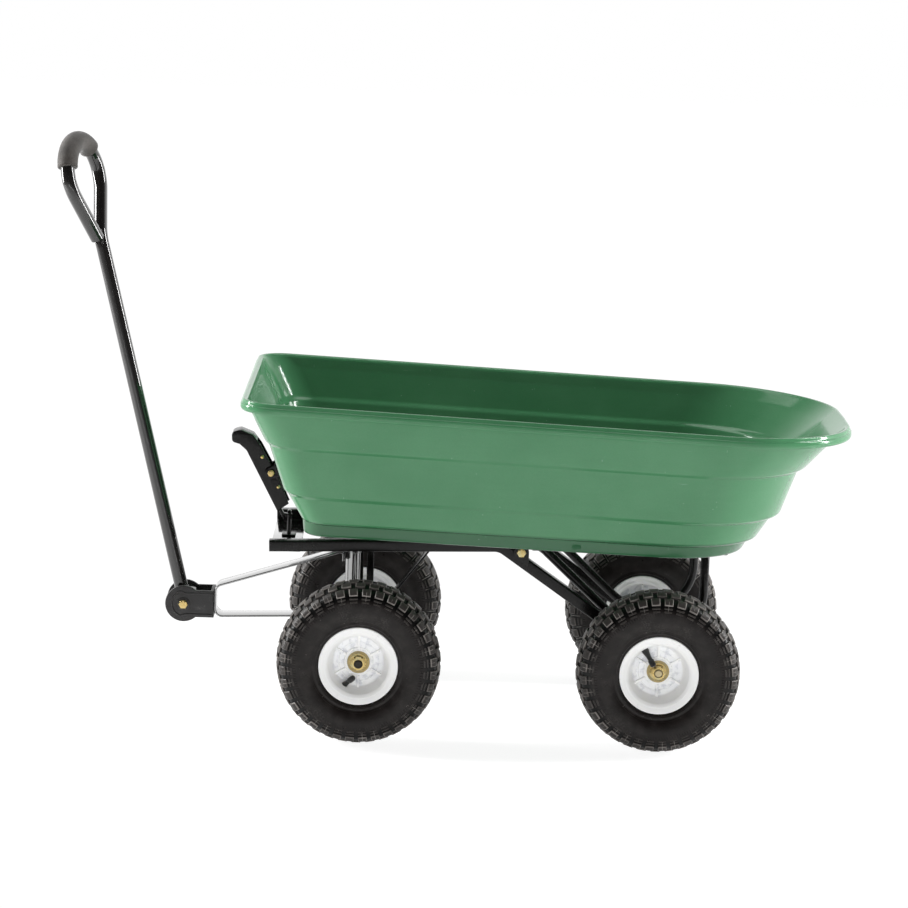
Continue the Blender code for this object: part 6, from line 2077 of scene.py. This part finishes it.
    def legs(self) -> None:
        """Adds the legs, each with the lug that turns on the axle tube."""
        half, inner, outer = self.lug_width / 2, 0.0147, 0.018
        lug = [(inner, -half, 0.0004), (outer, -half, 0.0008), (outer, half, 0.0008), (inner, half, 0.0004)]
        ring = lathe(rounded(lug, 30, loop=True), 64)
        for side, name in SIDES:
            y = side * self.leg_spread
            path, scales = rounded_ends(in_side_view(self.leg_line(), y), 0.0012, self.leg_radius)
            bar = sweep(path, circle(self.leg_radius, 28), ACROSS, scales)
            foot = moved(ring.copy(), at(WHEELBASE, y, TYRE_RADIUS, STANDING))
            self.add("bent_leg_" + name, joined([bar, foot]), Finish.FRAME, "tray_leg_" + name)
        self.weld("leg_welds", self.weld_lines(), 0.0015)

    def weld_lines(self) -> list[Line]:
        """Where the legs meet their lugs and the straps.

        Returns:
            The points of each weld's line.
        """
        line = self.leg_line()
        low = TYRE_RADIUS + 0.0186
        end = Vector((line[-1][0], line[-1][1] + 0.0004))
        top = self.under(self.front_strap) - self.strap[2] - 3 * GAP
        first, second = line[0][0], line[3][0]
        lines: list[Line] = []
        for side, _ in SIDES:
            y = side * self.leg_spread
            for edge in (-0.0048, 0.0048):
                marks = (-0.012, -0.006, 0, 0.006, 0.012)
                lines.append([(WHEELBASE + u, y + edge, low - u * u * 18) for u in marks])
            lines.append([(end.x + px, y + py, end.y) for px, py in arc(0, 0, self.leg_radius, 0, 360, 24)])
            for edge in (-0.0042, 0.0042):
                lines.append([(first + 0.001, y + edge, top - 0.0008), (second, y + edge, top - 0.001)])
        return lines

    def build(self) -> None:
        """Adds the tray and what it stands on."""
        boss = [(0, 0), (0.0072, 0), (0.007, 0.001), (0.0055, 0.0013), (0, 0.0013)]
        near = moved(lathe(boss, 40, False), at(0.332, -0.1856, 0.3145, turned(82)))
        self.add("moulded_tray", joined([self.shell(), near]), Finish.TRAY, "tray")
        self.straps()
        self.legs()


@dataclass
class Latch(Assembly):
    """The tray's latch: a bracket on the front wall, a pin, and a folded lever with a tongue."""

    body: str = "latch"
    x: float = -0.152
    z: float = 0.3835
    tilt: float = 29.3
    half_width: float = 0.017
    wall: float = 0.003
    depth: float = 0.021
    taper: float = 0.003
    pin_hole: float = 0.0033
    channel: Pair = (-0.095, 0.052)
    bracket: Pair = (0.03, 0.003)
    bolt_rise: float = 0.036
    ear: Pair = (0.003, 0.01)
    striker: Pair = (-0.122, 0.318)

    def point(self, along: float, out: float) -> Pair:
        """Cart (x, z) of a point on the lever, from the latch pin.

        Args:
            along: How far up the lever it is.
            out: How far it stands away from the tray.

        Returns:
            The point.
        """
        tilt = math.radians(self.tilt)
        x = self.x - along * math.sin(tilt) - out * math.cos(tilt)
        return x, self.z + along * math.cos(tilt) - out * math.sin(tilt)

    def inside(self, along: float) -> float:
        """How far the inside of the lever's web stands off the pin."""
        low, high = self.channel
        return self.depth - self.wall - self.taper * (along - low) / (high - low)

    def wall_line(self, tray: Tray, z: float) -> float:
        """Where the tray's front wall stands, outside, in the middle.

        Args:
            tray: The tray.
            z: The height.

        Returns:
            Its x.
        """
        levels = [TRAY_LEVELS[name] for name in WALL_LEVELS]
        points = [(tray.height(level, level[2]), level[2]) for level in levels]
        for (z0, x0), (z1, x1) in zip(points, points[1:]):
            if z <= z1:
                return x0 + (x1 - x0) * (z - z0) / (z1 - z0)
        return points[-1][1]

    def bracket_group(self, tray: Tray) -> None:
        """Adds the bracket with its ears, the pin and the two bolts, which ride on the tray.

        Args:
            tray: The tray, whose front wall the bracket lies on.
        """
        mount = Assembly(self.cart, tray.body)
        step, top = TRAY_LEVELS["step_high"], TRAY_LEVELS["wall_top"]
        touch = Vector((step[2] - 0.0008, tray.height(step, step[2])))
        upper_z = tray.height(top, top[2]) - 0.01
        upper = Vector((self.wall_line(tray, upper_z) - 0.0042, upper_z))
        along = (upper - touch).normalized()
        out = Vector((-along.y, along.x))
        lower = touch - along * 0.06
        half, thickness = self.bracket
        middle = (lower + upper) / 2 + out * thickness / 2
        frame = Matrix(((0, along.x, out.x), (-1, 0, 0), (0, along.y, out.y))).to_4x4()
        outline = rectangle(2 * half, 2 * ((upper - lower).length / 2), 0.008, 10)
        shapes = [plate(outline, thickness, edge=0.0008, rows=3)]
        pin = Vector((self.x, self.z))
        pin_along = (pin - (lower + upper) / 2).dot(along)
        reach = (pin - middle).dot(out)
        ear_wall, ear_radius = self.ear
        turn = Matrix(((0, 0, 1), (1, 0, 0), (0, 1, 0))).to_4x4()
        foot = ear_radius * 1.3
        outline = [*arc(0, reach, ear_radius, 0, 180, 24), (-foot, -0.0005), (foot, -0.0005)]
        for side, _ in SIDES:
            ear = plate(outline, ear_wall, [circle(self.pin_hole, 24, 0, reach)], 0.0006)
            shapes.append(moved(ear, at(side * (self.half_width + 0.0005 + ear_wall / 2), pin_along, 0, turn)))
        mesh = moved(joined(shapes), at(middle.x, 0, middle.y, frame))
        mount.add("latch_mount", mesh, Finish.FRAME, "latch_bracket")
        span = 2 * (self.half_width + 0.0005 + ear_wall + GAP)
        bolt = Fastener(0.003, 0.0057, span, tail=0.0035, pitch=0.0008).build()
        mount.fasten("latch_pin_bolt", bolt, [at(pin.x, -span / 2, pin.y, STANDING)], "latch_pin")
        for name, rise in (("upper", pin_along + self.bolt_rise), ("lower", pin_along - self.bolt_rise * 0.72)):
            seat = middle + along * rise + out * (thickness / 2 + GAP)
            gap = abs(seat.x - self.wall_line(tray, seat.y)) * along.y
            through = gap + tray.wall * 1.35 + 0.0022
            bolt = Fastener(0.004, 0.0075, through, 0.0095, 0.0052, nut_height=0.006, tail=0.0025).build()
            mount.fasten("mount_bolt_" + name, bolt, [at(seat.x, 0, seat.y, frame)], "latch_bolt_" + name)

    def lever(self) -> Mesh:
        """The lever: a folded channel with a thumb hook and a tongue under the striker.

        Returns:
            The mesh.
        """
        depth = self.depth
        view = [(-0.06, depth, 0.001), (0.05, depth - self.taper, 0.01), (0.064, depth + 0.002, 0.006)]
        view += [(0.073, depth + 0.011, 0.006), (0.087, depth + 0.004, 0.007), (0.084, depth - 0.01, 0.008)]
        view += [(0.067, -0.003, 0.006), (0.046, -0.006, 0.004), (-0.02, -0.006, 0.006)]
        view += [(-0.046, -0.002, 0.008), (-0.058, -0.001, 0.001)]
        outline = rounded([(*self.point(a, b), r) for a, b, r in view], 10, loop=True)
        hole = circle(self.pin_hole, 24, self.x, self.z)
        body = plate(outline, 2 * self.half_width, [hole], 0.0011, 4)
        low, high = self.channel
        view = [(low, self.inside(low), 0), (high, self.inside(high), 0.004)]
        view += [(high + 0.008, -0.02, 0), (low, -0.02, 0)]
        outline = rounded([(*self.point(a, b), r) for a, b, r in view], 20, loop=True)
        body = carve(body, plate(outline, 2 * (self.half_width - self.wall), edge=0.0008))
        x, top = self.striker
        under = top - 0.003 - 0.0008
        web = ((-0.0835, 0.001), (-0.052, 0.001), (-0.052, 0.006), (-0.07, 0.006))
        tongue = [self.point(along, depth - inset) for along, inset in web]
        tongue += [(x - 0.001, under), (x + 0.004, under), (x + 0.003, under - 0.006)]
        shapes = [body, plate(tongue, 2 * (0.009 - 0.003 - 0.0016), edge=0.0006)]
        return moved(joined(shapes), STANDING)

    def build(self, tray: Tray) -> None:
        """Adds the latch.

        Args:
            tray: The tray that it holds down.
        """
        self.bracket_group(tray)
        self.add("latch_handle", self.lever(), Finish.FRAME, "latch_lever")
        head = [(0, 0.0015), (0.0016, 0.0013), (0.0029, 0.0005), (0.0031, -0.0004), (0, -0.0004)]
        seats = []
        for along in (0.029, -0.026):
            x, z = self.point(along, 0.0005)
            seats += [at(x, side * self.half_width, z, turned(-90 * side)) for side, _ in SIDES]
        self.fasten("lever_rivets", lathe(head, 28, closed=False), seats)


# Camera, light and floor


@dataclass
class Studio:
    """A white studio: the photograph's camera, a low front light, one overhead, and two on each side."""

    place: Place = (0.09236, -4.86481, 1.33793)
    yaw: float = 0.009645
    pitch: float = 0.186481
    roll: float = 0.033914
    lens: float = 122.45
    sweep_top: Pair = (0.35, 0.8)
    room: Sizes = (0.1, 0.3, 0.35)
    mirror: Sizes = (0.04, 0.06, 1.15)
    floor_glow: Pair = (1.03, 1.42)
    floor_share: float = 0.62
    floor_bounce: float = 0.42

    def camera(self, shift: float) -> None:
        """Adds the camera.

        Args:
            shift: How far the frame's X is from the cart's.
        """
        flat = math.cos(self.pitch)
        ahead = Vector((math.sin(self.yaw) * flat, math.cos(self.yaw) * flat, -math.sin(self.pitch)))
        level = Vector((math.cos(self.yaw), -math.sin(self.yaw), 0))
        up = level.cross(ahead)
        right = level * math.cos(self.roll) + up * math.sin(self.roll)
        top = up * math.cos(self.roll) - level * math.sin(self.roll)
        data = bpy.data.cameras.new("camera")
        data.sensor_width, data.lens, data.clip_end = 36, self.lens, 60
        obj = linked("camera", data)
        turn = Matrix((right, top, -ahead)).transposed().to_4x4()
        obj.matrix_world = Matrix.Translation((self.place[0] + shift, *self.place[1:])) @ turn
        bpy.context.scene.camera = obj

    def lamp(self, name: str, place: Place, goal: Place, size: Pair, power: float) -> bpy.types.Object:
        """Adds a soft rectangular light.

        Args:
            name: Its name.
            place: Where it stands.
            goal: Where it points.
            size: Its width and height.
            power: Its power in watts.

        Returns:
            The light's object.
        """
        data = bpy.data.lights.new(name, "AREA")
        data.shape = "RECTANGLE"
        data.size, data.size_y = size
        data.energy = power
        obj = linked(name, data)
        obj.matrix_world = Matrix.Translation(place) @ toward(Vector(place) - Vector(goal))
        return obj

    def world(self) -> None:
        """Sets the surroundings: a white sweep behind and below, and a dim room above and in front."""
        bpy.context.scene.world = bpy.data.worlds.new("studio")
        g = Graph(bpy.context.scene.world)
        _, y, z = g.split(g.node("ShaderNodeTexCoord", output="Generated"))
        sweep_share = y.ramp(-0.25, 0.45) * (1 - z.ramp(*self.sweep_top))
        low_share = 1 - z.ramp(0.05, 0.5)
        room, mirror = (
            base + low * low_share + behind * sweep_share for base, low, behind in (self.room, self.mirror)
        )
        seen, through, glossy = g.rays()
        strength = room + (mirror - room) * glossy
        strength = strength + (1 - strength) * seen.math("MAXIMUM", through)
        background = g.tree.nodes["Background"]
        feed(g.tree, background.inputs[0], (1, 1, 1))
        feed(g.tree, background.inputs[1], strength.socket)

    def floor(self) -> None:
        """Adds the white floor, which stays white far off and keeps the cart's shadow near it."""
        bm = bmesh.new()
        bmesh.ops.create_grid(bm, x_segments=8, y_segments=8, size=14)
        mesh = finish_mesh(bm)
        g = Graph(bpy.data.materials.new("studio_floor"))
        g.tree.nodes.remove(g.tree.nodes["Principled BSDF"])
        plain = g.node("ShaderNodeBsdfDiffuse", {0: (0.88, 0.88, 0.88)})
        seen, through, glossy = g.rays()
        x, y, _ = g.split(g.place())
        far = (x * x * 0.5 + y * y).ramp(0.1, 0.6)
        behind = 0.1 + 0.8 * y.ramp(-0.9, 0.3)
        share = self.floor_share + (1 - self.floor_share) * far
        share = share * seen.math("MAXIMUM", through).math("MAXIMUM", glossy * behind)
        share = share.math("MAXIMUM", (1 - seen) * (1 - glossy) * self.floor_bounce)
        near_glow, far_glow = self.floor_glow
        strength = near_glow + (far_glow - near_glow) * (1 - far) * seen
        glow = g.node("ShaderNodeEmission", {0: (1, 1, 1), 1: strength})
        mixed = g.node("ShaderNodeMixShader", {0: share, 1: plain, 2: glow})
        feed(g.tree, g.tree.nodes["Material Output"].inputs[0], mixed.socket)
        mesh.materials.append(g.owner)
        obj = linked("studio_floor", mesh)
        obj.location = (0, 0, -0.0004)

    def build(self, shift: float) -> None:
        """Adds camera, light and floor.

        Args:
            shift: How far the frame's X is from the cart's.
        """
        bpy.context.scene.view_settings.view_transform = "Standard"
        self.camera(shift)
        self.world()
        self.floor()
        goal = (0, 0, 0.35)
        fill = self.lamp("low front", (0.2, -3.3, 0.22), (0, 0, 0.3), (3.4, 0.36), 43)
        self.lamp("overhead", (0, 0.6, 2.9), goal, (2.4, 1.6), 22)
        left = self.lamp("left", (-2.5, 0.35, 0.6), goal, (0.6, 1.3), 48)
        right = self.lamp("right", (2.6, 0.2, 0.6), goal, (0.6, 1.3), 40)
        for lamp in (fill, left, right):
            lamp.visible_glossy = False
        self.lamp("left strip", (-2.5, 0.3, 1.45), goal, (0.2, 2.6), 78)
        self.lamp("right strip", (2.6, 0.15, 1.3), goal, (0.2, 2.3), 58)


def main() -> None:
    """Builds the cart on its frame."""
    logging.basicConfig(level=logging.INFO, format="%(name)s: %(message)s")
    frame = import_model()
    cart = Cart(frame)
    tyre, rim = Tyre().build(cart.rings), Rim().build(cart.rings)
    for corner in Corner:
        Wheel(corner).build(cart, tyre, rim)
    Chassis(cart).build()
    Steering(cart).build()
    Handle(cart).build()
    tray = Tray(cart)
    tray.build()
    Latch(cart).build(tray)
    cart.dress_frame_nodes()
    Studio().build(cart.shift.translation.x)


if __name__ == "__main__":
    main()
